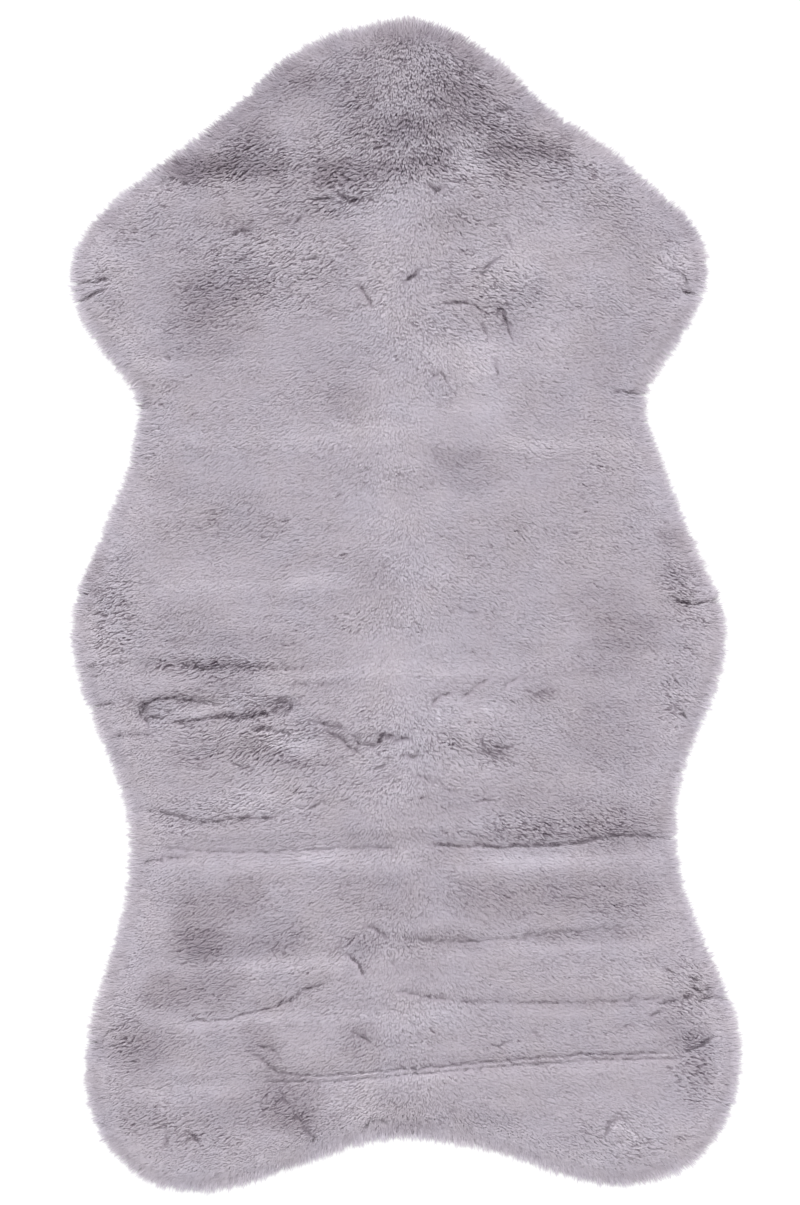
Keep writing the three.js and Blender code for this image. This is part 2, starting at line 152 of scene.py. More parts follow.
# Patches of tone in levels of 255, darker below zero: partly the pile's own uneven tone, partly painted shade
# and sheen where folds, ridges and the lie of the nap take the light differently. Each patch fades out
# towards its rim.
Shade = namedtuple("Shade", "name x y across along levels")
SHADES = [
    Shade("cap", -10, 460, 150, 70, -8),
    Shade("cap, pale spot", -10, 451, 26, 22, 8),
    Shade("cap, pale spot, left", -98, 438, 34, 22, 6),
    Shade("cap, dark spot", 45, 440, 34, 34, -5),
    Shade("below the band, left", -120, 352, 110, 18, -2),
    Shade("mauve patch", -165, 272, 70, 48, -11),
    Shade("mauve patch, core", -188, 268, 34, 40, -10),
    Shade("left cheek", -222, 352, 40, 24, 1),
    Shade("middle strip", -22, 300, 28, 70, 5),
    Shade("parted patch", 100, 258, 30, 22, -6),
    Shade("parted patch, left", 62, 266, 26, 14, -3),
    Shade("right shoulder", 120, 335, 80, 34, 7),
    Shade("right shoulder, rim", 245, 345, 40, 30, -9),
    Shade("pale streaks", 72, 192, 44, 56, 12),
    Shade("pale streaks, right", 128, 226, 44, 34, 9),
    Shade("left of the middle", -62, 200, 46, 40, -5),
    Shade("left shoulder, low", -235, 225, 40, 30, 6),
    Shade("ellipse under the ridge", 50, 112, 56, 24, -9),
    Shade("left flank", -150, 78, 66, 52, -4),
    Shade("right back", 150, 104, 60, 20, -1),
    Shade("hollow in the middle", -24, 20, 36, 34, -7),
    Shade("right hip", 242, 18, 30, 40, -6),
    Shade("right hip, inner", 175, 2, 50, 24, -8),
    Shade("loop, left end", -236, -95, 14, 12, -10),
    Shade("loop, right end", -108, -90, 14, 12, -12),
    Shade("under the loop", -195, -135, 34, 15, -12),
    Shade("under the loop, right", -104, -140, 40, 12, -9),
    Shade("pale tuft", -110, -120, 30, 14, 16),
    Shade("pit right of the loop", -22, -119, 16, 10, -12),
    Shade("brown pit", 80, -129, 24, 14, -9),
    Shade("spot on the loin", 119, -79, 20, 12, -11),
    Shade("spot on the right hip", 240, -93, 26, 20, -8),
    Shade("loin, lower left", -120, -158, 60, 20, 3),
    Shade("right loin", 190, -195, 90, 36, -11),
    Shade("left thigh", -186, -285, 36, 50, -15),
    Shade("left thigh, lower", -168, -332, 34, 34, -12),
    Shade("thigh, second patch", -110, -292, 40, 24, -8),
    Shade("thigh, middle", -20, -258, 60, 26, -7),
    Shade("thigh, right of the middle", 90, -262, 80, 32, -11),
    Shade("thigh, right", 175, -256, 80, 30, -12),
    Shade("spot by the pinch", -45, -322, 16, 16, -7),
    Shade("right of the pinch", 12, -330, 34, 22, -4),
    Shade("left foot", -238, -396, 50, 32, -16),
    Shade("foot, second patch", -165, -400, 34, 28, -4),
    Shade("foot, third patch", -128, -392, 28, 30, -12),
    Shade("foot, fourth patch", -43, -390, 28, 30, -10),
    Shade("left of the tail", -150, -450, 80, 32, -8),
    Shade("left of the tail, core", -102, -445, 36, 44, -14),
    Shade("pale by the tail", -45, -440, 38, 26, 8),
    Shade("right of the tail", 60, -450, 80, 16, -5),
    Shade("right foot, rim", 257, -400, 24, 44, -11),
    Shade("right foot, low", 190, -492, 70, 24, 6),
    Shade("right foot, spot", 155, -476, 34, 18, -4),
    Shade("cap, middle", 5, 462, 90, 75, -7),
    Shade("cap, right", 80, 450, 80, 60, -7),
    Shade("cap, left rim", -150, 425, 50, 44, -20),
    Shade("cap, left rim, low", -195, 392, 46, 30, -16),
    Shade("cap, left rim, high", -108, 466, 50, 36, -18),
    Shade("cap, upper rim, left", -55, 500, 50, 26, -10),
    Shade("cap, top", 5, 510, 60, 24, -26),
    Shade("cap, right rim, high", 58, 498, 40, 26, -16),
    Shade("cap, right rim", 130, 432, 60, 28, -8),
    Shade("gap in the neck band", 55, 400, 18, 30, 9),
    Shade("mauve patch, lower", -190, 228, 60, 26, -10),
    Shade("mauve patch, right", -125, 255, 60, 26, -4),
    Shade("below the neck, pale", -95, 312, 60, 30, 8),
    Shade("above the parted patch", 88, 300, 56, 30, 14),
    Shade("right shoulder, low", 190, 345, 50, 26, -6),
    Shade("right shoulder, inner rim", 238, 298, 28, 28, 14),
    Shade("right of the streaks", 175, 215, 40, 40, -5),
    Shade("left cheek, rim", -262, 345, 30, 22, -9),
    Shade("under the ridge, left", -208, 106, 40, 16, -6),
    Shade("right waist rim", 238, 60, 20, 20, -15),
    Shade("left rim, above the hip", -280, 30, 24, 40, -9),
    Shade("left back", -190, -20, 60, 30, -5),
    Shade("above the hip line, left", -150, -32, 80, 18, -10),
    Shade("right hip, inner, low", 195, -24, 50, 26, -14),
    Shade("loop, inside", -185, -92, 50, 10, 9),
    Shade("under the loop, middle", -145, -131, 38, 16, -10),
    Shade("right of the tuft", -66, -122, 18, 18, -8),
    Shade("right loin, upper", 180, -115, 60, 50, -10),
    Shade("right loin, middle", 110, -178, 60, 24, -7),
    Shade("right hip line, low", 150, -55, 110, 14, -6),
    Shade("left thigh, inner", -146, -262, 34, 34, -13),
    Shade("left thigh, rim", -212, -345, 42, 26, -16),
    Shade("thigh, right, low", 170, -294, 90, 12, -9),
    Shade("pale under the first fold", 215, -335, 50, 22, 8),
    Shade("pale at the middle", 15, -371, 60, 14, 7),
    Shade("foot, left", -240, -452, 40, 30, -5),
    Shade("cap, low middle", 0, 420, 30, 18, -8),
    Shade("below the band, dark", -142, 338, 50, 16, -7),
    Shade("below the band, middle", 40, 342, 26, 20, -8),
    Shade("left shoulder, rim", -262, 300, 40, 30, 8),
    Shade("right shoulder, middle", 165, 290, 50, 30, 5),
    Shade("right of the parted patch", 125, 262, 60, 24, 6),
    Shade("pale streaks, upper", 55, 222, 50, 30, 11),
    Shade("left of the middle, low", -50, 182, 30, 22, -8),
    Shade("ellipse, upper", 40, 134, 46, 14, -14),
    Shade("ridge, right", 115, 140, 44, 14, 8),
    Shade("ridge, left", -80, 142, 60, 12, 6),
    Shade("left hip, rim", -262, -30, 36, 40, 6),
    Shade("left hip line, right end", -100, -66, 40, 14, 8),
    Shade("loin, pale", 65, -100, 50, 24, 9),
    Shade("right hip, low", 240, -95, 26, 30, 8),
    Shade("loin, pale, lower", 62, -142, 50, 14, 8),
    Shade("loin, left of the pit", -40, -142, 26, 12, 7),
    Shade("above the wavy crease", -130, -178, 62, 18, 13),
    Shade("loin, low middle", 20, -182, 50, 16, -8),
    Shade("below the slot", 118, -227, 74, 12, 8),
    Shade("left below the long crease", -80, -222, 40, 12, 9),
    Shade("left thigh, fold", -175, -302, 52, 20, -13),
    Shade("first fold, middle", 30, -300, 60, 16, -8),
    Shade("left fold", -120, -305, 40, 14, -8),
    Shade("second fold, middle", 0, -342, 60, 18, 2),
    Shade("right foot, upper", 240, -378, 24, 24, -9),
    Shade("foot fold, left", -125, -425, 30, 20, -9),
    Shade("foot fold, middle", 0, -425, 64, 20, 3),
    Shade("tail, left", -85, -462, 36, 22, -9),
    Shade("tail, middle", 5, -462, 50, 16, -11),
    Shade("right foot, middle", 215, -462, 50, 24, 8),
    Shade("inside the loop", -180, -94, 44, 9, 6),
    Shade("pale pocket under the loop", -80, -124, 36, 12, 9),
    Shade("long crease, under the middle", 30, -224, 34, 14, -10),
    Shade("right hip line", 180, -50, 50, 26, -7),
    Shade("left of the left hip line", -165, -62, 50, 18, -9),
    Shade("second fold, right", 100, -300, 40, 16, 7),
    Shade("tail, right", 70, -462, 50, 16, -6),
    Shade("left shoulder blade", -120, 258, 60, 20, 7),
    Shade("loin, upper left", -160, -20, 50, 18, 3),
    Shade("first fold, left of the middle", -40, -300, 26, 14, -10),
    Shade("neck, middle", -10, 420, 70, 18, -14),
    Shade("right foot, low corner", 200, -500, 40, 20, -8),
    Shade("left of the middle, deep", -80, 20, 40, 18, 6),
    Shade("mid back, middle", 0, 100, 30, 24, -6),
]

# Bands along a run: painted shade along folds and painted highlight along ridges and lips, in levels, with
# the rise of the pile on them.
Band = namedtuple("Band", "name half levels rise run")
BANDS = [
    Band("neck band, left", 17, -26, 0, [(-215, 388), (-165, 390), (-105, 386)]),
    Band("neck band, middle", 19, -26, 0, [(-85, 384), (-20, 387), (40, 392)]),
    Band("neck band, right", 17, -22, 0, [(72, 402), (110, 404), (148, 402)]),
    Band("left shoulder line", 8, 6, 0.2, [(-246, 214), (-140, 214)]),
    Band("ridge under the neck", 16, 9, 0, [(-215, 146), (-90, 152), (0, 154)]),
    Band("ridge under the neck, right", 15, 9, 0, [(85, 150), (205, 142)]),
    Band("left flank ridge", 10, 9, 0.1, [(-228, 15), (-120, 18), (-60, 18)]),
    Band("hip line, left", 9, -12, 0, [(-240, -52), (-200, -54), (-110, -56)]),
    Band("hip line, right", 9, 4, 0.1, [(-90, -62), (20, -64), (100, -58)]),
    Band("loop, upper edge", 6, -5, 0, [(-236, -96), (-225, -85), (-165, -86)]),
    Band("loop, lower edge", 6, -7, 0, [(-210, -104), (-150, -100), (-110, -90)]),
    Band("wavy crease", 7, -2, 0, [(-190, -192), (-120, -191)]),
    Band("above the long crease", 12, -8, 0, [(-60, -204), (60, -205), (210, -198)]),
    Band("below the long crease", 12, 4, 0, [(-200, -236), (-100, -230), (60, -232), (150, -228)]),
    Band("first thigh line", 8, -3, 0, [(-50, -296), (60, -298), (140, -292)]),
    Band("first thigh fold", 10, 3, 0.1, [(20, -316), (120, -310), (230, -304)]),
    Band("left thigh fold", 11, 8, 0.3, [(-180, -322), (-120, -320), (-50, -320)]),
    Band("below the slanted crease", 10, 8, 0.2, [(-215, -376), (-130, -368), (45, -363)]),
    Band("second thigh line", 8, -5, 0, [(-10, -345), (60, -352), (170, -354), (280, -344)]),
    Band("above the foot fold", 11, 7, 0.2, [(-250, -437), (-170, -430), (-60, -423), (40, -414)]),
    Band("foot fold, line", 6, -6, 0, [(-20, -410), (60, -406), (235, -398)]),
    Band("under the neck band, left", 12, -7, 0, [(-190, 370), (-120, 372), (-15, 374)]),
    Band("under the neck band, right", 11, -7, 0, [(72, 384), (140, 382)]),
]

# Narrow partings: half width, darkness in levels, how broken they are, and the run. The darkness is painted
# shade down each parting.
Mark = namedtuple("Mark", "name half dark broken run")
MARKS = [
    Mark("left shoulder, upper", 1.5, 75, 0.0, [(-296, 286), (-284, 287), (-266, 290)]),
    Mark("left shoulder, lower", 1.7, 65, 0.0, [(-294, 269), (-283, 275), (-270, 281)]),
    Mark("neck pit", 1.9, 75, 0.1, [(-57, 363), (-51, 360), (-42, 360)]),
    Mark("neck pit, left", 1.6, 60, 0.2, [(-84, 360), (-70, 361)]),
    Mark("neck pit, right", 1.4, 55, 0.3, [(-40, 359), (-30, 362)]),
    Mark("grey pit", 1.8, 65, 0.0, [(22, 372), (28, 368), (31, 371)]),
    Mark("neck rim pit", 1.5, 55, 0.3, [(-222, 377), (-205, 381)]),
    Mark("smudge", 1.7, 55, 0.2, [(-155, 330), (-147, 333), (-138, 334)]),
    Mark("cluster below the neck", 1.3, 45, 0.5, [(-115, 337), (-104, 341), (-92, 344)]),
    Mark("spot, mauve patch", 1.5, 50, 0.0, [(-86, 308), (-80, 310)]),
    Mark("spot, mauve patch, left", 1.4, 45, 0.0, [(-151, 305), (-145, 307)]),
    Mark("thin line", 0.9, 40, 0.1, [(-41, 284), (-37, 277), (-32, 270)]),
    Mark("dash", 1.3, 70, 0.0, [(1, 288), (5, 292), (11, 297)]),
    Mark("parting, left arm", 1.2, 60, 0.1, [(36, 268), (52, 269), (64, 267), (68, 260)]),
    Mark("parting, left foot", 1.0, 40, 0.1, [(68, 250), (72, 242), (74, 231)]),
    Mark("parting, inner", 1.0, 40, 0.2, [(44, 257), (53, 252)]),
    Mark("parting, right arm", 1.2, 62, 0.1, [(81, 259), (86, 264), (90, 250), (95, 236)]),
    Mark("parting, lower right", 0.8, 32, 0.2, [(78, 219), (84, 202)]),
    Mark("parting, lower left", 1.0, 40, 0.1, [(25, 203), (31, 207), (37, 198)]),
    Mark("faint parting", 0.9, 26, 0.3, [(64, 291), (78, 308), (86, 309)]),
    Mark("faint hook", 0.9, 34, 0.2, [(89, 331), (94, 318)]),
    Mark("right shoulder spot", 2.3, 70, 0.0, [(249, 278), (256, 277), (261, 279)]),
    Mark("right shoulder, upper", 1.1, 30, 0.3, [(228, 302), (245, 295), (253, 284)]),
    Mark("right waist", 1.4, 48, 0.2, [(186, 190), (206, 189), (216, 186)]),
    Mark("cap dot", 1.3, 40, 0.0, [(60, 476), (63, 476)]),
    Mark("cap hook", 0.9, 30, 0.0, [(83, 440), (90, 441)]),
    Mark("left waist nick", 2.0, 70, 0.0, [(-242, 178), (-238, 177)]),
    Mark("left hip nick", 2.2, 80, 0.0, [(-297, -6), (-290, -4)]),
    Mark("left hip, faint", 1.0, 28, 0.4, [(-289, -56), (-268, -54), (-248, -50)]),
    Mark("left hip, second", 1.1, 34, 0.3, [(-280, -90), (-262, -88), (-243, -84)]),
    Mark("left hip, third", 1.1, 30, 0.3, [(-269, -119), (-247, -116), (-226, -114)]),
    Mark("hip line", 1.2, 46, 0.6,
         [(-207, -52), (-184, -56), (-160, -55), (-135, -55), (-113, -56), (-85, -56)]),
    Mark("hip line, second", 1.2, 34, 0.6, [(-105, -69), (-66, -71)]),
    Mark("loop, left end", 1.5, 60, 0.25, [(-233, -88), (-236, -96), (-231, -103)]),
    Mark("loop, top", 1.2, 62, 0.35,
         [(-233, -89), (-224, -84), (-209, -83), (-199, -84), (-189, -86), (-167, -88)]),
    Mark("loop, inner", 1.0, 40, 0.2, [(-226, -99), (-214, -101)]),
    Mark("loop, bottom", 1.5, 74, 0.3,
         [(-204, -105), (-191, -103), (-174, -100), (-160, -99), (-145, -101), (-130, -98), (-117, -95)]),
    Mark("loop, right end", 1.5, 70, 0.3, [(-118, -89), (-110, -84), (-103, -91), (-111, -92)]),
    Mark("right of the loop", 1.3, 48, 0.2, [(-79, -104), (-70, -106), (-60, -107)]),
    Mark("under the loop", 1.3, 50, 0.3, [(-140, -110), (-120, -110), (-101, -114)]),
    Mark("curl", 1.0, 50, 0.2, [(-71, -111), (-58, -118), (-51, -126), (-41, -130)]),
    Mark("curl, right", 1.1, 42, 0.2, [(-46, -115), (-42, -123), (-26, -124)]),
    Mark("pit right of the curl", 1.9, 70, 0.0, [(-26, -123), (-21, -117), (-12, -117)]),
    Mark("under the curl", 1.0, 44, 0.2, [(-29, -146), (-18, -143)]),
    Mark("under the curl, lower", 1.0, 34, 0.3, [(-24, -155), (-6, -147)]),
    Mark("dash at the middle", 1.3, 50, 0.0, [(-8, -120), (0, -118)]),
    Mark("loin dash", 0.9, 36, 0.3, [(2, -135), (17, -134)]),
    Mark("loin dash, long", 0.9, 32, 0.3, [(11, -152), (34, -160)]),
    Mark("loin dash, low", 1.0, 36, 0.2, [(34, -163), (48, -166)]),
    Mark("loin dash, right", 1.2, 46, 0.1, [(64, -175), (71, -173), (79, -173)]),
    Mark("left loin dash", 1.1, 42, 0.2, [(-150, -142), (-137, -146)]),
    Mark("brown pit, left", 1.6, 42, 0.5, [(68, -121), (80, -126), (90, -128)]),
    Mark("brown pit, lower", 1.3, 34, 0.5, [(66, -130), (84, -134)]),
    Mark("dark curve", 1.1, 60, 0.0, [(26, -85), (31, -80), (38, -79)]),
    Mark("dark curve, second", 1.0, 44, 0.1, [(52, -81), (61, -74), (71, -67)]),
    Mark("dark curve, third", 0.8, 24, 0.2, [(89, -71), (96, -66)]),
    Mark("loin smudge", 2.6, 32, 0.3, [(113, -79), (126, -77)]),
    Mark("faint line on the back", 0.9, 26, 0.2, [(47, -2), (64, -10)]),
    Mark("right hip slot", 1.5, 78, 0.0, [(241, 3), (256, 1), (268, 3), (279, 5)]),
    Mark("right hip, below", 1.3, 44, 0.2, [(233, -93), (242, -92), (251, -102)]),
    Mark("right hip, rim", 1.4, 44, 0.0, [(266, -83), (273, -78)]),
    Mark("right loin notch", 1.8, 50, 0.0, [(243, -152), (247, -147)]),
    Mark("wavy crease", 1.1, 36, 0.3,
         [(-247, -181), (-226, -182), (-209, -186), (-187, -192), (-170, -193), (-155, -189)]),
    Mark("wavy crease, dark", 1.6, 50, 0.5, [(-157, -189), (-135, -191), (-120, -189), (-104, -181)]),
    Mark("slanted dash", 1.3, 46, 0.1, [(-85, -181), (-73, -173)]),
    Mark("long crease, left", 1.1, 26, 0.3,
         [(-219, -216), (-174, -219), (-125, -220), (-110, -218), (-60, -216), (-10, -215)]),
    Mark("long crease, slot", 1.9, 56, 0.15, [(20, -213), (50, -215), (86, -215), (134, -213), (156, -212)]),
    Mark("long crease, right", 1.1, 36, 0.2,
         [(156, -212), (173, -206), (195, -205), (217, -206), (238, -209)]),
    Mark("left shade", 2.6, 26, 0.3, [(-234, -229), (-216, -225), (-198, -223)]),
    Mark("thigh spot", 1.7, 26, 0.2, [(-56, -247), (-50, -249)]),
    Mark("first thigh line", 1.0, 18, 0.3, [(0, -297), (60, -299), (130, -291), (200, -286)]),
    Mark("upper pinch", 1.2, 44, 0.1, [(-34, -286), (-26, -289), (-18, -294)]),
    Mark("pinch", 1.4, 52, 0.1, [(-49, -313), (-43, -320), (-38, -328)]),
    Mark("pinch, right", 1.1, 36, 0.2, [(-14, -312), (-9, -323)]),
    Mark("slanted crease", 1.1, 52, 0.15,
         [(-191, -370), (-159, -369), (-142, -363), (-119, -359), (-102, -351), (-92, -343), (-75, -337)]),
    Mark("second thigh line", 1.0, 30, 0.3, [(-10, -343), (30, -350), (100, -354), (172, -353), (225, -349)]),
    Mark("dash, right", 1.2, 44, 0.3, [(186, -356), (212, -357)]),
    Mark("dash, right foot", 1.1, 46, 0.2, [(224, -355), (240, -352), (253, -348)]),
    Mark("dash, right foot, upper", 1.4, 46, 0.3, [(255, -340), (264, -345), (273, -340)]),
    Mark("dash, right foot, rim", 1.2, 44, 0.3, [(262, -352), (276, -348), (290, -352)]),
    Mark("dash, right foot, low", 1.0, 34, 0.2, [(218, -364), (226, -361)]),
    Mark("pit, right foot", 1.1, 40, 0.0, [(231, -323), (238, -327)]),
    Mark("pit, right foot, second", 1.0, 36, 0.0, [(254, -331), (260, -334)]),
    Mark("fourth patch dash", 1.0, 38, 0.2, [(-48, -379), (-32, -387)]),
    Mark("third patch dash", 1.0, 30, 0.2, [(-132, -391), (-117, -396)]),
    Mark("mid foot pit", 1.5, 44, 0.1, [(76, -391), (84, -393), (90, -388)]),
    Mark("mid foot dash", 1.0, 32, 0.3, [(112, -379), (124, -384)]),
    Mark("mid foot dash, right", 1.0, 32, 0.3, [(133, -388), (146, -392)]),
    Mark("right foot dash", 0.9, 24, 0.3, [(186, -375), (199, -374)]),
    Mark("foot fold, start", 0.9, 34, 0.2, [(-132, -401), (-119, -411), (-107, -419)]),
    Mark("foot fold, upper line", 0.9, 40, 0.1,
         [(-107, -417), (-73, -419), (-43, -416), (-6, -413), (57, -408),
          (110, -403), (155, -400), (230, -398)]),
    Mark("foot fold, lower line", 0.8, 30, 0.15,
         [(-127, -424), (-97, -423), (-73, -424), (-43, -421), (-6, -418),
          (57, -413), (110, -408), (155, -405), (238, -403)]),
    Mark("foot fold, pit", 1.2, 56, 0.0, [(92, -405), (98, -410)]),
    Mark("foot fold, hook", 1.2, 44, 0.0, [(250, -396), (262, -392), (269, -386)]),
    Mark("broken line", 0.9, 40, 0.45, [(-120, -424), (-107, -441), (-95, -457), (-85, -472), (-75, -482)]),
    Mark("zigzag", 1.3, 44, 0.5, [(-216, -457), (-214, -468), (-213, -478)]),
    Mark("v mark", 1.1, 50, 0.0, [(-195, -476), (-190, -472), (-184, -478)]),
    Mark("tail curl", 1.1, 32, 0.2, [(-40, -470), (-31, -457), (-20, -460)]),
    Mark("right curl", 1.2, 40, 0.2, [(181, -459), (190, -455), (200, -456)]),
    Mark("right curl, left side", 1.0, 30, 0.2, [(178, -470), (181, -461)]),
    Mark("left rim dash", 1.6, 60, 0.0, [(-269, -330), (-263, -327)]),
    Mark("left rim dash, second", 1.2, 36, 0.1, [(-270, -352), (-264, -349)]),
    Mark("left foot dash", 1.1, 38, 0.1, [(-266, -381), (-259, -377)]),
    Mark("left foot rim", 1.5, 46, 0.0, [(-283, -389), (-277, -389)]),
    Mark("left foot dot", 1.1, 38, 0.0, [(-245, -405), (-241, -405)]),
]

# Narrow pale ridges: raised, and paler with a painted highlight of so many levels, given in the darkness
# column.
RIDGES = [
    Mark("cap swirl, left", 1.6, 22, 0.0, [(40, 487), (43, 472), (48, 466)]),
    Mark("cap swirl, right", 1.6, 20, 0.0, [(61, 472), (67, 465), (77, 462)]),
    Mark("cap curl", 1.3, 22, 0.0, [(82, 436), (88, 433), (92, 441)]),
    Mark("pale streak", 1.2, 22, 0.0, [(29, -93), (31, -104)]),
    Mark("pale streak, right", 1.8, 12, 0.1, [(70, -91), (78, -100)]),
    Mark("tail thread", 0.9, 9, 0.3, [(-140, -480), (-117, -474), (-83, -471)]),
    Mark("tail thread, down", 0.9, 8, 0.3, [(-134, -482), (-132, -500)]),
    Mark("foot fold, ridge", 1.3, 10, 0.1, [(-100, -420), (-43, -418), (57, -410), (155, -402), (232, -400)]),
    Mark("right curl", 2.2, 16, 0.0, [(186, -466), (192, -462), (198, -468), (205, -474)]),
]


# Helpers

def closed_curve(points, steps):
    """A closed centripetal Catmull-Rom curve through the points."""
    pts = np.array(points, float)
    n = len(pts)
    out = []
    for i in range(n):
        p0, p1, p2, p3 = pts[i - 1], pts[i], pts[(i + 1) % n], pts[(i + 2) % n]
        d0 = np.linalg.norm(p1 - p0) ** 0.5
        d1 = np.linalg.norm(p2 - p1) ** 0.5
        d2 = np.linalg.norm(p3 - p2) ** 0.5
        m1 = ((p1 - p0) / d0 - (p2 - p0) / (d0 + d1) + (p2 - p1) / d1) * d1
        m2 = ((p2 - p1) / d1 - (p3 - p1) / (d1 + d2) + (p3 - p2) / d2) * d1
        for k in range(steps):
            t = k / steps
            out.append((2 * t**3 - 3 * t**2 + 1) * p1 + (t**3 - 2 * t**2 + t) * m1
                       + (3 * t**2 - 2 * t**3) * p2 + (t**3 - t**2) * m2)
    return np.array(out)


def outward(points, reach=6):
    """The way out at each point of a closed run that goes clockwise."""
    run = np.roll(points, -reach, axis=0) - np.roll(points, reach, axis=0)
    out = np.stack([-run[:, 1], run[:, 0]], axis=1)
    return out / np.linalg.norm(out, axis=1, keepdims=True)


TIPS = closed_curve(OUTLINE, STEPS_A_ROW)
OUT = outward(TIPS)
EDGE = TIPS - OUT * FRINGE_REACH
EDGE_STEPS = np.hypot(*(np.roll(EDGE, -1, axis=0) - EDGE).T)
EDGE_REACHED = np.concatenate([[0], np.cumsum(EDGE_STEPS)])
EDGE_LENGTH = EDGE_REACHED[-1]


def bell(d):
    return (1 - np.minimum(d, 1) ** 2) ** 2


def smooth(x):
    x = np.clip(x, 0, 1)
    return x * x * (3 - 2 * x)


lattices = {}
Wave = namedtuple("Wave", "size across along seed")


def noise(x, y, pitch_x, pitch_y, seed):
    """Smooth uneven values from -1 to 1, with the given pitch across and along."""
    if seed not in lattices:
        lattices[seed] = np.random.default_rng(SEED * 1000 + seed).random((256, 256))
    table = lattices[seed]
    u = x / pitch_x + 1000.37
    v = y / pitch_y + 1000.61
    i = np.floor(u).astype(int)
    j = np.floor(v).astype(int)
    fu = u - i
    fv = v - j
    fu = fu * fu * fu * (fu * (fu * 6 - 15) + 10)
    fv = fv * fv * fv * (fv * (fv * 6 - 15) + 10)
    i, j, i1, j1 = i % 256, j % 256, (i + 1) % 256, (j + 1) % 256
    low = table[j, i] * (1 - fu) + table[j, i1] * fu
    high = table[j1, i] * (1 - fu) + table[j1, i1] * fu
    return (low * (1 - fv) + high * fv) * 2 - 1


def wavy(x, y, waves):
    """The sum of some smooth uneven fields."""
    total = 0
    for w in waves:
        total = total + w.size * noise(x, y, w.across, w.along, w.seed)
    return total


def off_run(x, y, run):
    """Distance to a run, below zero on its lower side, the share along it, and the way from it."""
    nearest = np.full(x.shape, 1e9)
    side = np.ones(x.shape)
    share = np.zeros(x.shape)
    away = np.zeros(x.shape + (2,))
    lengths = [math.dist(a, b) for a, b in zip(run, run[1:])]
    done = 0.0
    for (ax, ay), (bx, by), length in zip(run, run[1:], lengths):
        t = np.clip(((x - ax) * (bx - ax) + (y - ay) * (by - ay)) / length**2, 0, 1)
        ox = x - ax - t * (bx - ax)
        oy = y - ay - t * (by - ay)
        d = np.hypot(ox, oy)
        closer = d < nearest
        nearest = np.where(closer, d, nearest)
        side = np.where(closer, np.where(oy < 0, -1.0, 1.0), side)
        share = np.where(closer, (done + t * length) / sum(lengths), share)
        away[closer, 0] = (ox / np.maximum(d, 1e-6))[closer]
        away[closer, 1] = (oy / np.maximum(d, 1e-6))[closer]
        done += length
    return nearest * side, share, away


def near_run(x, y, run, margin):
    """The indices of the places within margin of a run's own box."""
    xs = [p[0] for p in run]
    ys = [p[1] for p in run]
    return np.nonzero((x > min(xs) - margin) & (x < max(xs) + margin)
                      & (y > min(ys) - margin) & (y < max(ys) + margin))[0]


def rim_fields(x, y):
    """Distance to the ground's edge, above zero inside it, and the nearest place on the edge."""
    dist = np.empty(x.shape)
    place = np.empty(x.shape, int)
    for s in range(0, len(x), 8000):
        dx = x[s:s + 8000, None] - EDGE[None, :, 0]
        dy = y[s:s + 8000, None] - EDGE[None, :, 1]
        d2 = dx * dx + dy * dy
        k = d2.argmin(axis=1)
        place[s:s + 8000] = k
        dist[s:s + 8000] = np.sqrt(d2[np.arange(len(k)), k])
    outside = (x - EDGE[place, 0]) * OUT[place, 0] + (y - EDGE[place, 1]) * OUT[place, 1] > 0
    return np.where(outside, -dist, dist), place


class Grid:
    """A field kept on an even grid and read back at any place."""

    def __init__(self, step):
        self.step = step
        self.xs = np.arange(-316, 317, step)
        self.ys = np.arange(-540, 541, step)
        self.x, self.y = np.meshgrid(self.xs, self.ys)

    def read(self, values, x, y):
        u = np.clip((x - self.xs[0]) / self.step, 0, len(self.xs) - 1.001)
        v = np.clip((y - self.ys[0]) / self.step, 0, len(self.ys) - 1.001)
        i = u.astype(int)
        j = v.astype(int)
        fu = u - i
        fv = v - j
        return (values[j, i] * (1 - fu) * (1 - fv) + values[j, i + 1] * fu * (1 - fv)
                + values[j + 1, i] * (1 - fu) * fv + values[j + 1, i + 1] * fu * fv)


# Fields over the whole rug

coarse = Grid(4.0)
c_in, c_place = rim_fields(coarse.x.ravel(), coarse.y.ravel())
c_in = c_in.reshape(coarse.x.shape)
c_out_x = OUT[c_place, 0].reshape(coarse.x.shape)
c_out_y = OUT[c_place, 1].reshape(coarse.x.shape)


def inside(x, y):
    return coarse.read(c_in, x, y)


LEAST_ROUGH = 0.10
ROUGH_WAVES = [Wave(0.16, 70, 26, 40), Wave(0.10, 22, 9, 41)]


def rough_at(x, y):
    rough = LEAST_ROUGH + wavy(x, y, ROUGH_WAVES)
    for p in ROUGH:
        rough = rough + p.strength * bell(np.hypot((x - p.x) / p.across, (y - p.y) / p.along))
    return np.clip(rough, 0, 1)


# How much each kind of relief turns the strands' normals, against its real slope.
CREASE_SHADING = 0.36
LUMP_SHADING = 0.45
# A painted lighter strip down the middle of the back, against the shade the pile laid towards the tail takes
# there: its lift in levels, width, and where it fades out towards the tail.
MIDDLE_PAINTED_LIFT = 8.0
MIDDLE_WIDTH = 75.0
MIDDLE_END = -260.0
MIDDLE_FADE = 120.0
LEVEL_DROP = 2.0
MARK_SLOPE = 3.0
MARK_DIP = 0.002
STROKE_PITCH = 3.2


def crease_relief(x, y):
    relief = np.zeros(x.shape)
    for c in CREASES:
        off, _, _ = off_run(x, y, c.run)
        relief -= c.depth * bell(np.abs(off) / c.half)
        relief += c.lip * bell(np.abs(off / c.half + LIP_PLACE))
    return relief


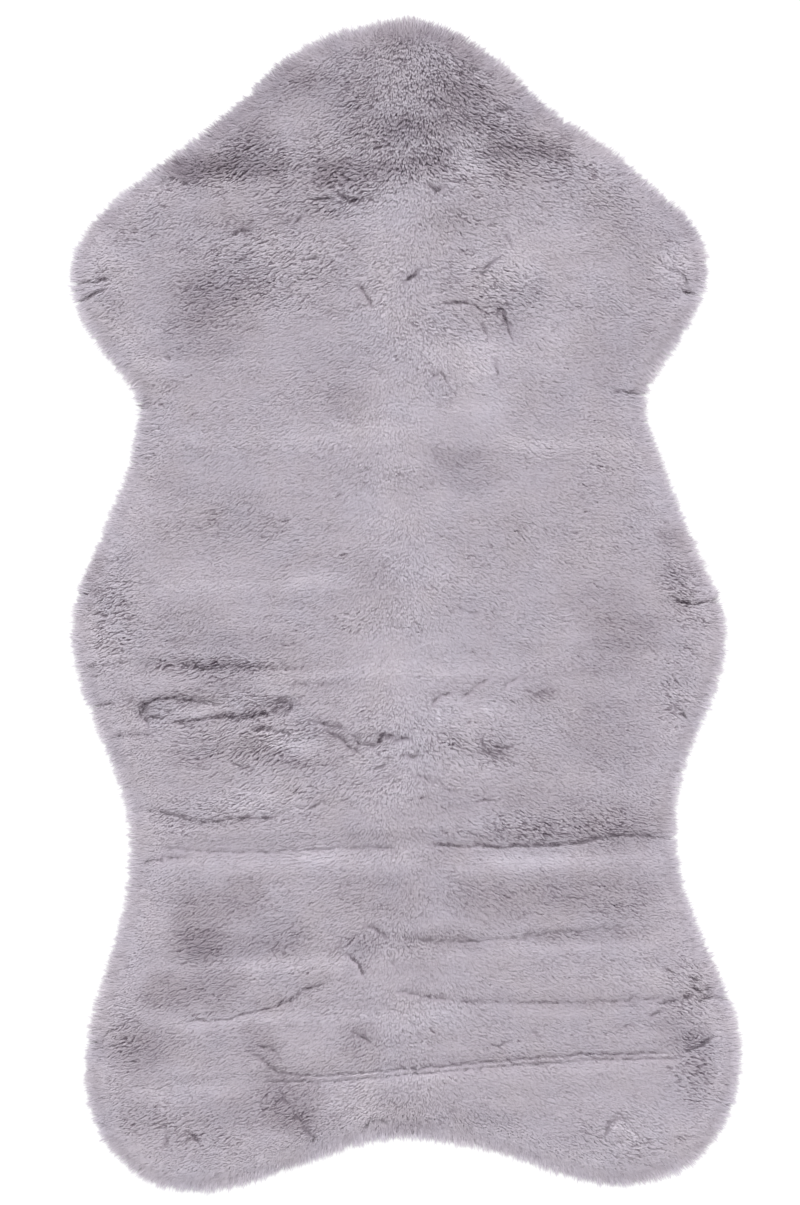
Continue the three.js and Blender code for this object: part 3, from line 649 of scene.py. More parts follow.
def lump_relief(x, y):
    """The pile's soft lumps and mounds."""
    rise, pitch, bend, tighter = LUMPS["rise"], LUMPS["pitch"], LUMPS["bend"], LUMPS["tighter"]
    relief = rise * (np.sin(x * math.pi / pitch + bend * np.sin(y / pitch))
                     + np.sin(y * math.pi * tighter / pitch + bend * np.sin(x / pitch)))
    for m in MOUNDS:
        relief += m.rise * bell(np.hypot((x - m.x) / m.across, (y - m.y) / m.along))
    return relief


def fine_relief(x, y, rough):
    """The pile's ridges, partings and small unevenness."""
    relief = (0.05 + 0.45 * rough) * noise(x, y, 15, 6, 51) + (0.05 + 0.25 * rough) * noise(x, y, 6, 3, 52)
    for b in BANDS:
        if b.rise:
            off, _, _ = off_run(x, y, b.run)
            relief += b.rise * bell(np.abs(off) / b.half)
    flat_x, flat_y, flat = x.ravel(), y.ravel(), relief.ravel()
    for m in MARKS:
        near = near_run(flat_x, flat_y, m.run, MARK_SLOPE * m.half)
        off, _, _ = off_run(flat_x[near], flat_y[near], m.run)
        flat[near] -= m.dark * MARK_DIP * m.half * bell(np.abs(off) / (MARK_SLOPE * m.half))
    return flat.reshape(x.shape)


FLOW_FALL = 0.40
FLOW_TURN = 60.0
COMB_WAVES = [Wave(4.0, 50, 34, 11)]
FLOW_WAVES = [Wave(2.4, 17, 11, 12), Wave(1.0, 7, 5, 13)]


def comb_level(x, y):
    """The level whose even lines the laid pile follows: out to the flanks and a little towards the tail."""
    return y + FLOW_FALL * np.sqrt(x * x + FLOW_TURN**2) + wavy(x, y, COMB_WAVES)


def flow_level(x, y):
    """The same with the finer waves that locks and short partings follow."""
    return comb_level(x, y) + wavy(x, y, FLOW_WAVES)


SHADE_WAVES = [Wave(1.4, 60, 18, 71), Wave(1.0, 18, 8, 72), Wave(1.2, 8, 3.5, 73)]
SWAY_ACROSS = [Wave(6, 30, 20, 74)]
SWAY_ALONG = [Wave(4, 26, 16, 75)]
SHADE_STEEPNESS = 1.35
RimShade = namedtuple("RimShade", "levels place half")
RIM_SHADES = [RimShade(-6, -5, 7), RimShade(3, 7, 10)]


def shade_at(x, y):
    """The nap's tone in levels of 255: its own uneven tone, a darker and a paler band by the rim, a painted
    lighter strip down the middle, and the patches and bands, partly own tone and partly painted shade,
    highlight and sheen.
    """
    levels = wavy(x, y, SHADE_WAVES)
    for r in RIM_SHADES:
        levels += r.levels * bell(np.abs(inside(x, y) - r.place) / r.half)
    middle = bell(np.abs(x) / MIDDLE_WIDTH) * smooth((y - MIDDLE_END) / MIDDLE_FADE)
    levels += MIDDLE_PAINTED_LIFT * middle - LEVEL_DROP
    wx = x + wavy(x, y, SWAY_ACROSS)
    wy = y + wavy(x, y, SWAY_ALONG)
    for s in SHADES:
        away = np.hypot((wx - s.x) / s.across, (wy - s.y) / s.along)
        levels = levels + s.levels * smooth(SHADE_STEEPNESS * (1 - away))
    for b in BANDS:
        off, share, _ = off_run(x, wy * 0.5 + y * 0.5, b.run)
        fade = smooth(np.minimum(share, 1 - share) / 0.12 + 0.35)
        levels = levels + b.levels * bell(np.abs(off) / b.half) * fade
    return levels


# Darker nap is a little rougher: so much for each level below this one, as far as the last.
ROUGH_A_LEVEL = 0.02
DARK_FROM = 4
DARKEST_ROUGH = 20

fine = Grid(1.5)
f_rough = rough_at(fine.x, fine.y)
f_from_tips = (inside(fine.x, fine.y) + FRINGE_REACH) / (RIM_ROUNDING + FRINGE_REACH)
f_round = (1 - np.clip(1 - f_from_tips, 0, 1) ** 2.2) ** 1.2
f_creases = crease_relief(fine.x, fine.y)
f_lumps = lump_relief(fine.x, fine.y)
f_small = fine_relief(fine.x, fine.y, f_rough)
f_height = (PILE_HEIGHT + f_lumps + f_creases + f_small) * f_round
f_nap = (LUMP_SHADING * f_lumps + CREASE_SHADING * f_creases + f_small) * f_round
f_slope_y, f_slope_x = np.gradient(f_nap, fine.step)
f_level_y, f_level_x = np.gradient(comb_level(fine.x, fine.y), fine.step)
f_shade = shade_at(fine.x, fine.y)
f_rough = np.clip(f_rough + ROUGH_A_LEVEL * np.clip(-f_shade - DARK_FROM, 0, DARKEST_ROUGH), 0, 1)


# The pile

STRANDS = 362000
FRINGE_STRANDS = 75000
ROOT_DEPTH = 7.0
LOCK = (4.6, 1.9)
# Short partings: cell size along and across, seed, width, then pairs of a value on smooth pile and what
# roughness adds to it: darkness (painted shade in the parting), pale lip (painted highlight below it), depth
# and tilt. Last how far the pile tilts, and how far it opens.
Gap = namedtuple("Gap", "cell seed width dark lip dip tilt reach opening")
LONG_GAP = Gap((6.4, 3.1), 5, 0.55, (27, 36), (4, 4), (0.8, 1.6), (0.34, 0.36), 0.9, 0.5)
SHORT_GAP = Gap((3.9, 2.1), 6, 0.48, (20, 12), (0, 0), (0.5, 0.5), (0.24, 0.10), 0.6, 0.25)
LIP_AT = 1.2
LIP_HALF = 0.7
LOCK_SEED = 4
# A strand shows this far up, as its lower part is covered.
SHOWS_AT = 0.8
# Partings fade out past the ground's edge.
HELD_FROM = 13.0
HELD_FADE = 9.0
# How much a strand's own shape turns its normals, on smooth pile and added by roughness.
OWN_TURN = (0.06, 0.18)
# Least and greatest width of the strands.
PILE_WIDTH = (0.85, 1.25)
PARTING_WIDTH = (0.7, 1.1)
FRINGE_WIDTH = (0.45, 0.85)
# How far the pile lies over: on smooth pile, added by roughness, and added at the rim.
LEAN = 0.68
LEAN_ROUGH = 0.06
LEAN_AT_RIM = 0.2
RIM_COMB = 0.45
RIM_COMB_WIDTH = 10.0
COMB_HALF = 70.0
FRINGE_ROOTS = (-1, 13)
FRINGE_LENGTH = 16.3
FRINGE_SHARES = (0.35, 1.08)
FRINGE_SPREAD = 0.26

Clump = namedtuple("Clump", "along across own")
Dash = namedtuple("Dash", "away side strength")
Strands = namedtuple("Strands", "root tip width levels up own")


def scatter(count, rng):
    """Places spread evenly over the ground."""
    area = 0.5 * abs(np.sum(EDGE[:, 0] * np.roll(EDGE[:, 1], -1) - np.roll(EDGE[:, 0], -1) * EDGE[:, 1]))
    pitch = math.sqrt(area / count)
    x, y = np.meshgrid(np.arange(-300, 300, pitch), np.arange(-530, 530, pitch))
    x = (x + rng.uniform(-0.5, 0.5, x.shape) * pitch).ravel()
    y = (y + rng.uniform(-0.5, 0.5, y.shape) * pitch).ravel()
    keep = inside(x, y) > 0.3
    return x[keep], y[keep]


def own_numbers(seed):
    return np.random.default_rng(SEED + seed).random((256, 256, 6))


def clump_of(u, v, size, seed):
    """The nearest clump of each place: the way to its middle, and its own uneven numbers."""
    along, across = size
    numbers = own_numbers(seed)
    ci = np.floor(u / along).astype(int)
    cj = np.floor(v / across).astype(int)
    nearest = np.full(u.shape, 1e9)
    best_i = np.zeros(u.shape, int)
    best_j = np.zeros(u.shape, int)
    for di in (-1, 0, 1):
        for dj in (-1, 0, 1):
            i = ci + di
            j = cj + dj
            cell = numbers[j % 256, i % 256]
            d = np.hypot(u / along - i - cell[..., 0], v / across - j - cell[..., 1])
            closer = d < nearest
            nearest = np.where(closer, d, nearest)
            best_i = np.where(closer, i, best_i)
            best_j = np.where(closer, j, best_j)
    cell = numbers[best_j % 256, best_i % 256]
    return Clump((best_i + cell[..., 0]) * along - u, (best_j + cell[..., 1]) * across - v,
                 cell[..., 2:] * 2 - 1)


def dash_of(u, v, size, seed, chance):
    """The nearest short parting of each place: how far away, on which side and how strong it is."""
    along, across = size
    numbers = own_numbers(seed)
    ci = np.floor(u / along).astype(int)
    cj = np.floor(v / across).astype(int)
    away = np.full(u.shape, 99.0)
    side = np.ones(u.shape)
    strength = np.zeros(u.shape)
    for di in (-1, 0, 1):
        for dj in (-1, 0, 1):
            i = ci + di
            j = cj + dj
            cell = numbers[j % 256, i % 256]
            du = u - (i + cell[..., 0]) * along
            dv = v - (j + 0.15 + 0.7 * cell[..., 1]) * across
            off = dv - (cell[..., 3] - 0.5) * 0.9 * du - (cell[..., 4] - 0.5) * 0.7 / along * du * du
            past = np.maximum(np.abs(du) - along * (0.1 + 0.38 * cell[..., 2]), 0)
            d = np.where(cell[..., 5] < chance, np.hypot(off, past), 99.0)
            closer = d < away
            away = np.where(closer, d, away)
            side = np.where(closer, np.sign(off), side)
            strength = np.where(closer, 1 - 0.75 * cell[..., 5] / np.maximum(chance, 0.05), strength)
    return Dash(away, side, strength)


def strokes_of(m, seed):
    """A parting as short strokes along its run, each with its own place, turn, length and strength."""
    rng = np.random.default_rng(SEED * 100 + seed)
    xs, ys = np.array(m.run, float).T
    reached = np.concatenate([[0], np.cumsum(np.hypot(np.diff(xs), np.diff(ys)))])
    whole = reached[-1]
    count = max(2, round(whole / STROKE_PITCH))
    at = (np.arange(count) + rng.uniform(0.1, 0.9, count)) * whole / count
    x, y = np.interp(at, reached, xs), np.interp(at, reached, ys)
    ahead, behind = np.minimum(at + 1, whole), np.maximum(at - 1, 0)
    way = np.arctan2(np.interp(ahead, reached, ys) - np.interp(behind, reached, ys),
                     np.interp(ahead, reached, xs) - np.interp(behind, reached, xs))
    way += np.radians(9 + 36 * m.broken) * rng.normal(0, 1, count) + (math.pi if xs[-1] < xs[0] else 0)
    aside = (0.2 + 0.2 * m.half + 0.9 * m.broken) * rng.normal(0, 1, count)
    x, y = x - np.sin(way) * aside, y + np.cos(way) * aside
    reach = STROKE_PITCH * rng.uniform(0.45, 0.95, count)
    dx, dy = np.cos(way) * reach, np.sin(way) * reach
    size = rng.uniform(0, 1, count) ** 1.4
    size = np.where(rng.uniform(0, 1, count) < 0.5 * m.broken, 0, size)
    size = size * smooth(np.minimum(at, whole - at) / whole * 5 + 0.45)
    strength = 1 - min(0.5 + 0.6 * m.broken, 0.9) * (1 - size)
    return list(zip(x - dx, y - dy, x + dx, y + dy, strength, 0.35 + m.half * (0.2 + 0.8 * size)))


def off_strokes(x, y, strokes):
    """Half widths off the nearest stroke, below zero on its lower side, its strength, and the way."""
    nearest = np.full(x.shape, 1e9)
    side, strength = np.ones(x.shape), np.zeros(x.shape)
    away = np.zeros(x.shape + (2,))
    for ax, ay, bx, by, own, half in strokes:
        sx, sy = bx - ax, by - ay
        t = np.clip(((x - ax) * sx + (y - ay) * sy) / (sx * sx + sy * sy), 0, 1)
        ox, oy = x - ax - t * sx, y - ay - t * sy
        d = np.hypot(ox, oy)
        closer = d / half < nearest
        nearest = np.where(closer, d / half, nearest)
        side = np.where(closer, np.where(sx * oy - sy * ox < 0, -1.0, 1.0), side)
        strength = np.where(closer, own * (0.6 + 1.6 * t * (1 - t)), strength)
        away[closer, 0] = (ox / np.maximum(d, 1e-6))[closer]
        away[closer, 1] = (oy / np.maximum(d, 1e-6))[closer]
    return nearest * side, strength, away


STROKES = [strokes_of(m, k) for k, m in enumerate(MARKS)]


def part_pile(x, y, tip_x, tip_y, levels, rise, width):
    """Opens the partings: no strand crosses one, and the pile dips towards it and darkens with painted shade,
    with a painted highlight on its lower lip.
    """
    for m, strokes in zip(MARKS, STROKES):
        near = near_run(tip_x, tip_y, m.run, 8)
        root_off, _, _ = off_strokes(x[near], y[near], strokes)
        off, strength, _ = off_strokes(tip_x[near], tip_y[near], strokes)
        span = np.abs(root_off) + np.abs(off)
        crosses = (root_off * off < 0) & (span < 9) & (strength > 0.3)
        keep = np.where(crosses, np.abs(root_off) / (span + 1e-6) * 0.9, 1.0)
        tip_x[near] = x[near] + keep * (tip_x[near] - x[near])
        tip_y[near] = y[near] + keep * (tip_y[near] - y[near])
        off, strength, away = off_strokes(tip_x[near], tip_y[near], strokes)
        core = np.exp(-(off / 0.62) ** 2) * strength
        lip = np.exp(-(((off + 1.8) / 0.9) ** 2)) * strength
        push = 0.25 * m.half * bell(np.abs(off) / 2.5) * strength
        tip_x[near] += push * away[:, 0]
        tip_y[near] += push * away[:, 1]
        # Painted shade in the parting's core and a painted highlight on its lower lip.
        levels[near] += m.dark * (0.14 * lip - 1.25 * core)
        rise[near] += m.dark / 60 * (0.35 * lip - 1.8 * core)
        width[near] *= 1 - 0.4 * bell(np.minimum(np.abs(off) / 4, 1)) * np.minimum(width[near], 1)
    for m in RIDGES:
        near = near_run(tip_x, tip_y, m.run, 9)
        off, share, _ = off_run(tip_x[near], tip_y[near], m.run)
        core = np.exp(-(off / m.half) ** 2)
        # Painted highlight along the ridge.
        levels[near] += m.dark * core
        rise[near] += 0.7 * core


def with_rough(pair, rough):
    return pair[0] + pair[1] * rough


def nap_effects(x, y, rough, rng):
    """What locks and short partings do to strands that show at these places."""
    n = len(x)
    u, v = x, flow_level(x, y)
    lock = clump_of(u, v, LOCK, LOCK_SEED)
    long_chance = smooth((0.7 * noise(x, y, 16, 8, 31) + 1.9 * rough - 0.25) / 1.2)
    short_chance = 0.72 + 0.4 * noise(x, y, 12, 6, 33) + 0.2 * rough
    held = smooth((inside(x, y) + HELD_FROM) / HELD_FADE)
    uneven = 1 + 0.7 * noise(x, y, 15, 8, 34)
    levels, rise, tilt, opening = np.zeros(n), np.zeros(n), np.zeros(n), np.zeros(n)
    for gap, chance in ((LONG_GAP, long_chance), (SHORT_GAP, short_chance)):
        dash = dash_of(u, v, gap.cell, gap.seed, chance)
        # Painted shade down each short parting and a painted highlight on its lower lip; the dip and tilt of
        # the pile are real.
        depth = np.exp(-(dash.away / gap.width) ** 2) * dash.strength * held
        levels -= depth * with_rough(gap.dark, rough) * uneven
        lip = (dash.side < 0) * np.exp(-((dash.away - LIP_AT) / LIP_HALF) ** 2) * dash.strength
        levels += lip * with_rough(gap.lip, rough)
        rise -= depth * with_rough(gap.dip, rough)
        pull = dash.side * np.exp(-dash.away / gap.reach)
        tilt -= pull * dash.strength * with_rough(gap.tilt, rough)
        opening += pull * gap.opening
    levels += with_rough((1.0, 1.5), rough) * lock.own[:, 3] - 1.2 - 0.8 * rng.exponential(1, n)
    rise += with_rough((0.06, 0.3), rough) * lock.own[:, 2]
    rise += with_rough((0.06, 0.08), rough) * rng.normal(0, 1, n)
    tilt -= lock.across / (0.5 * LOCK[1]) * with_rough((0.05, 0.10), rough)
    return levels, rise, tilt, opening


def across_way(x, y):
    """The way across the lines that the pile lies along."""
    lx, ly = fine.read(f_level_x, x, y), fine.read(f_level_y, x, y)
    steep = np.hypot(lx, ly)
    return lx / steep, ly / steep


def finish_strands(x, y, tip_x, tip_y, width, rng, root_z=None, layer=1.0):
    """Heights, shades and ways of strands whose places are known."""
    show_x, show_y = x + SHOWS_AT * (tip_x - x), y + SHOWS_AT * (tip_y - y)
    rough = fine.read(f_rough, show_x, show_y)
    levels, rise, tilt, opening = nap_effects(show_x, show_y, rough, rng)
    levels += fine.read(f_shade, show_x, show_y)
    vx, vy = across_way(show_x, show_y)
    tip_x, tip_y = tip_x + vx * opening, tip_y + vy * opening
    part_pile(x, y, tip_x, tip_y, levels, rise, width)
    top = np.maximum(fine.read(f_height, tip_x, tip_y), 1.0)
    tip_z = np.clip(top + rise, 0.7, None)
    if root_z is None:
        root_z = np.clip(fine.read(f_height, x, y) - ROOT_DEPTH, 1.0, None)
    else:
        tip_z = 0.5 + layer * (tip_z - 0.5)
    slope_x, slope_y = fine.read(f_slope_x, show_x, show_y), fine.read(f_slope_y, show_x, show_y)
    up = np.stack([-slope_x + vx * tilt, -slope_y + vy * tilt, np.ones(len(x))], 1)
    return Strands(np.stack([x, y, root_z], 1), np.stack([tip_x, tip_y, tip_z], 1), width, levels, up,
                   with_rough(OWN_TURN, rough))


def pile_strands():
    rng = np.random.default_rng(SEED)
    x, y = scatter(STRANDS, rng)
    n = len(x)
    depth_in = inside(x, y)
    rough = fine.read(f_rough, x, y)
    ox, oy = coarse.read(c_out_x, x, y), coarse.read(c_out_y, x, y)
    size = np.maximum(np.hypot(ox, oy), 1e-6)
    ox, oy = ox / size, oy / size
    lx, ly = fine.read(f_level_x, x, y), fine.read(f_level_y, x, y)
    steep = np.hypot(lx, ly)
    lock = clump_of(x, flow_level(x, y), LOCK, LOCK_SEED)

    # The comb: along the flow, outwards from the middle and down along it, and straight out at the rim.
    outer = np.tanh((x + 22 * noise(x, y, 60, 40, 82)) / COMB_HALF + rng.normal(0, 0.15, n))
    cx, cy = outer * ly / steep, -outer * lx / steep - 0.6 * (1 - np.abs(outer))
    at_rim = RIM_COMB * smooth((RIM_COMB_WIDTH - depth_in) / RIM_COMB_WIDTH)
    cx = cx * (1 - at_rim) + ox * at_rim
    cy = cy * (1 - at_rim) + oy * at_rim
    turn = np.radians(6 + 6 * rough) * lock.own[:, 0] + np.radians(8) * rng.normal(0, 1, n)
    turn += np.radians(4 + 14 * rough) * noise(x, y, 11, 8, 83)
    c, s = np.cos(turn), np.sin(turn)
    size = np.hypot(cx, cy)
    cx, cy = (cx * c - cy * s) / size, (cx * s + cy * c) / size
    lean = LEAN + LEAN_ROUGH * rough + LEAN_AT_RIM * at_rim
    reach = ROOT_DEPTH * lean * (1 + 0.15 * lock.own[:, 1] + rng.uniform(-0.25, 0.25, n) * (1 + at_rim))
    step_x, step_y = cx * reach, cy * reach
    return finish_strands(x, y, x + step_x, y + step_y, rng.uniform(*PILE_WIDTH, n), rng)


def parting_shadow_strands():
    """Short dark strands at the bottom of the partings, coloured as painted shadow where the partings lie in
    shade.
    """
    rng = np.random.default_rng(SEED + 2)
    found = []
    for m, strokes in zip(MARKS, STROKES):
        ax, ay, bx, by, strength, half = np.array(strokes).T
        length = np.hypot(bx - ax, by - ay)
        cover = length * half * strength
        count = int(2.6 * cover.sum())
        k = rng.choice(len(strokes), count, p=cover / cover.sum())
        t = rng.uniform(-0.05, 1.05, count)
        aside = 0.3 * half[k] * rng.normal(0, 1, count) / length[k]
        x = ax[k] + t * (bx - ax)[k] - aside * (by - ay)[k]
        y = ay[k] + t * (by - ay)[k] + aside * (bx - ax)[k]
        keep = inside(x, y) > 1
        found.append(np.stack([x, y, m.dark * strength[k]], 1)[keep])
    x, y, dark = np.concatenate(found).T
    n = len(x)
    tip_x, tip_y = x + rng.normal(0, 0.7, n), y + rng.normal(0, 0.4, n)
    height = fine.read(f_height, x, y)
    root_z = np.clip(height - ROOT_DEPTH, 1.0, None)
    tip_z = np.clip(height - 0.7 - rng.uniform(0, 1.2, n) * dark / 60, 1.2, None)
    # These strands are painted shadow: darker by the parting's darkness.
    levels = fine.read(f_shade, x, y) - dark * rng.uniform(0.9, 1.25, n)
    up = np.stack([np.zeros(n), np.full(n, -0.2), np.ones(n)], 1)
    return Strands(np.stack([x, y, root_z], 1), np.stack([tip_x, tip_y, tip_z], 1),
                   rng.uniform(*PARTING_WIDTH, n), levels, up, np.full(n, OWN_TURN[0]))


def fringe_strands():
    """Fine strands that fan out past the ground's edge, of uneven length, and droop to the floor."""
    rng = np.random.default_rng(SEED + 1)
    n = FRINGE_STRANDS
    at = rng.uniform(0, EDGE_LENGTH, n)
    closed = np.vstack([EDGE, EDGE[:1]])
    outs = np.vstack([OUT, OUT[:1]])
    ex, ey = np.interp(at, EDGE_REACHED, closed[:, 0]), np.interp(at, EDGE_REACHED, closed[:, 1])
    ox, oy = np.interp(at, EDGE_REACHED, outs[:, 0]), np.interp(at, EDGE_REACHED, outs[:, 1])
    back = rng.uniform(*FRINGE_ROOTS, n)
    x, y = ex - ox * back, ey - oy * back
    tuft = clump_of(np.full(n, 705.0), at, (10.0, 4.6), 5)
    turn = np.radians(5) * tuft.own[:, 0] + rng.normal(0, FRINGE_SPREAD, n)
    lx, ly = fine.read(f_level_x, x, y), fine.read(f_level_y, x, y)
    outer = np.tanh(x / COMB_HALF) / np.hypot(lx, ly)
    mx, my = 0.6 * ox + 0.4 * outer * ly, 0.6 * oy - 0.4 * outer * lx
    size = np.hypot(mx, my)
    c, s = np.cos(turn) / size, np.sin(turn) / size
    dx, dy = mx * c - my * s, mx * s + my * c
    length = FRINGE_LENGTH + 1.3 * noise(at, at * 0, 24, 24, 101) + 0.6 * tuft.own[:, 1]
    length = length * rng.uniform(*FRINGE_SHARES, n)
    layer = rng.uniform(0, 1, n) ** 0.6
    root_z = 0.6 + layer * (fine.read(f_height, x, y) * 0.9 - 0.6)
    width = rng.uniform(*FRINGE_WIDTH, n)
    return finish_strands(x, y, x + dx * length, y + dy * length, width, rng, root_z, layer)


def build(name, verts, faces, normals=None, values=()):
    mesh = bpy.data.meshes.new(name)
    mesh.vertices.add(len(verts))
    mesh.vertices.foreach_set("co", ((verts + SHIFT) * MM).astype(np.float32).ravel())
    mesh.loops.add(faces.size)
    mesh.loops.foreach_set("vertex_index", faces.astype(np.int32).ravel())
    mesh.polygons.add(len(faces))
    mesh.polygons.foreach_set("loop_start", np.arange(0, faces.size, 3, dtype=np.int32))
    mesh.update(calc_edges=True)
    mesh.polygons.foreach_set("use_smooth", np.ones(len(faces), bool))
    for key in dict(values):
        layer = mesh.attributes.new(key, "FLOAT", "POINT")
        layer.data.foreach_set("value", values[key].astype(np.float32))
    if normals is not None:
        layer = mesh.attributes.new("custom_normal", "FLOAT_VECTOR", "POINT")
        layer.data.foreach_set("vector", normals.astype(np.float32).ravel())
    mesh.update()
    piece = bpy.data.objects.new(name, mesh)
    bpy.context.scene.collection.objects.link(piece)
    return piece


DARKEST, PALEST = -100.0, 25.0


def shade_share(levels):
    return np.clip((levels - DARKEST) / (PALEST - DARKEST), 0, 1)


WIDEST_AT = 0.68
# How far a strand's bend stands above its straight line, as a share of its rise.
ARCH = 0.2


def strand_mesh(name, strands, root_share=0.0):
    """One joined mesh of leaf-like strands, each bent at its widest place, so that its end lies flatter."""
    n = len(strands.root)
    axis = strands.tip - strands.root
    length = np.linalg.norm(axis, axis=1, keepdims=True)
    axis = axis / length
    side = np.cross(axis, np.array([0.0, 0.0, 1.0]))
    side[np.linalg.norm(side, axis=1) < 1e-4] = (1, 0, 0)
    side /= np.linalg.norm(side, axis=1, keepdims=True)
    upper = np.cross(side, axis)
    half = strands.width[:, None] * 0.5
    middle = strands.root + axis * length * WIDEST_AT
    middle[:, 2] += ARCH * (strands.tip[:, 2] - strands.root[:, 2])
    verts = np.stack([strands.root, middle + side * half, middle - side * half, strands.tip], 1)
    verts[..., 2] = np.maximum(verts[..., 2], 0.3)
    up = strands.up / np.linalg.norm(strands.up, axis=1, keepdims=True)
    normals = np.stack([upper, side, -side, upper], 1) * strands.own[:, None, None] + up[:, None, :]
    normals /= np.linalg.norm(normals, axis=2, keepdims=True)
    base = (np.arange(n) * 4)[:, None, None]
    faces = base + np.array([[0, 1, 2], [1, 3, 2]])[None]
    widest = max(root_share, WIDEST_AT)
    along = np.tile(np.array([root_share, widest, widest, 1.0]), n)
    shade = np.repeat(shade_share(strands.levels), 4)
    return build(name, verts.reshape(-1, 3), faces.reshape(-1, 3), normals.reshape(-1, 3),
                 {"shade": shade, "along": along})


# Materials

def fur_material(name):
    mat = bpy.data.materials.new(name)
    mat.use_nodes = True
    nodes, links = mat.node_tree.nodes, mat.node_tree.links
    shader = nodes["Principled BSDF"]
    shader.inputs["Roughness"].default_value = 0.85
    shader.inputs["Specular IOR Level"].default_value = 0.2
    shader.inputs["Sheen Weight"].default_value = 0.15
    shader.inputs["Sheen Roughness"].default_value = 0.5

    def attribute(key):
        node = nodes.new("ShaderNodeAttribute")
        node.attribute_name = key
        return node.outputs["Fac"]

    def ramp(source, stops):
        node = nodes.new("ShaderNodeValToRGB")
        elements = node.color_ramp.elements
        while len(elements) < len(stops):
            elements.new(0.5)
        for element, (position, color) in zip(elements, stops):
            element.position = position
            element.color = color + (1,)
        links.new(source, node.inputs["Fac"])
        return node.outputs["Color"]

    def multiply(a, b):
        node = nodes.new("ShaderNodeMix")
        node.data_type = "RGBA"
        node.blend_type = "MULTIPLY"
        node.inputs["Factor"].default_value = 1
        links.new(a, node.inputs["A"])
        links.new(b, node.inputs["B"])
        return node.outputs["Result"]

    place = nodes.new("ShaderNodeTexCoord").outputs["Object"]
    patches = nodes.new("ShaderNodeTexNoise")
    patches.inputs["Scale"].default_value = 28
    patches.inputs["Detail"].default_value = 3
    links.new(place, patches.inputs["Vector"])
    tint = ramp(patches.outputs["Fac"], [(0.32, (0.99, 0.985, 0.970)), (0.5, (0.985, 0.985, 0.985)),
                                         (0.68, (0.975, 0.985, 0.995))])
    shade = ramp(attribute("shade"), [(0.0, (0.112, 0.085, 0.110)), (0.32, (0.264, 0.222, 0.263)),
                                      (0.56, (0.432, 0.381, 0.436)), (0.8, (0.642, 0.591, 0.659)),
                                      (1.0, (0.836, 0.782, 0.855))])
    # Painted shade along each strand: darker towards the covered root, full at the widest part, and a little
    # darker at the very tip to hold back the light that the free tips catch.
    depth = ramp(attribute("along"), [(0.0, (0.78, 0.74, 0.765)), (0.6, (1.0, 1.0, 1.0)),
                                     (1.0, (0.94, 0.94, 0.94))])
    links.new(multiply(multiply(tint, shade), depth), shader.inputs["Base Color"])
    return mat

def knit_material(name):
    mat = bpy.data.materials.new(name)
    mat.use_nodes = True
    nodes, links = mat.node_tree.nodes, mat.node_tree.links
    shader = nodes["Principled BSDF"]
    shader.inputs["Roughness"].default_value = 0.9
    shader.inputs["Base Color"].default_value = (0.55, 0.52, 0.53, 1)
    return mat


# The ground and undercoat

CELLS_ACROSS = 150
CELLS_ALONG = 262
BEND_FADING = 1.6
GROUND_HEIGHT = 2.0
GROUND_FADE = 10.0
# The undercoat lies so far below the tips, and is so many levels darker as painted shade among the roots: on
# smooth pile and added by roughness.
UNDERCOAT_DROP = (2.4, 3.6)
UNDERCOAT_LEVELS = (0, -30)
# The undercoat takes the strands' painted root shade, as if this far along them.
UNDERCOAT_ALONG = 0.35
EDGE_SHADE = 0.7


def between(first, last, count, by_width):
    """Places along the edge from one row of OUTLINE to another, evenly spread."""
    if last < first:
        last += len(OUTLINE)
    index = np.arange(first * STEPS_A_ROW, last * STEPS_A_ROW + 1) % len(EDGE)
    step = np.diff(TIPS[index], axis=0)
    length = np.abs(step[:, 0]) if by_width else np.hypot(step[:, 0], step[:, 1])
    reached = np.concatenate([[0], np.cumsum(length)])
    want = np.linspace(0, reached[-1], count + 1)
    return np.stack([np.interp(want, reached, EDGE[index, k]) for k in (0, 1)], 1)


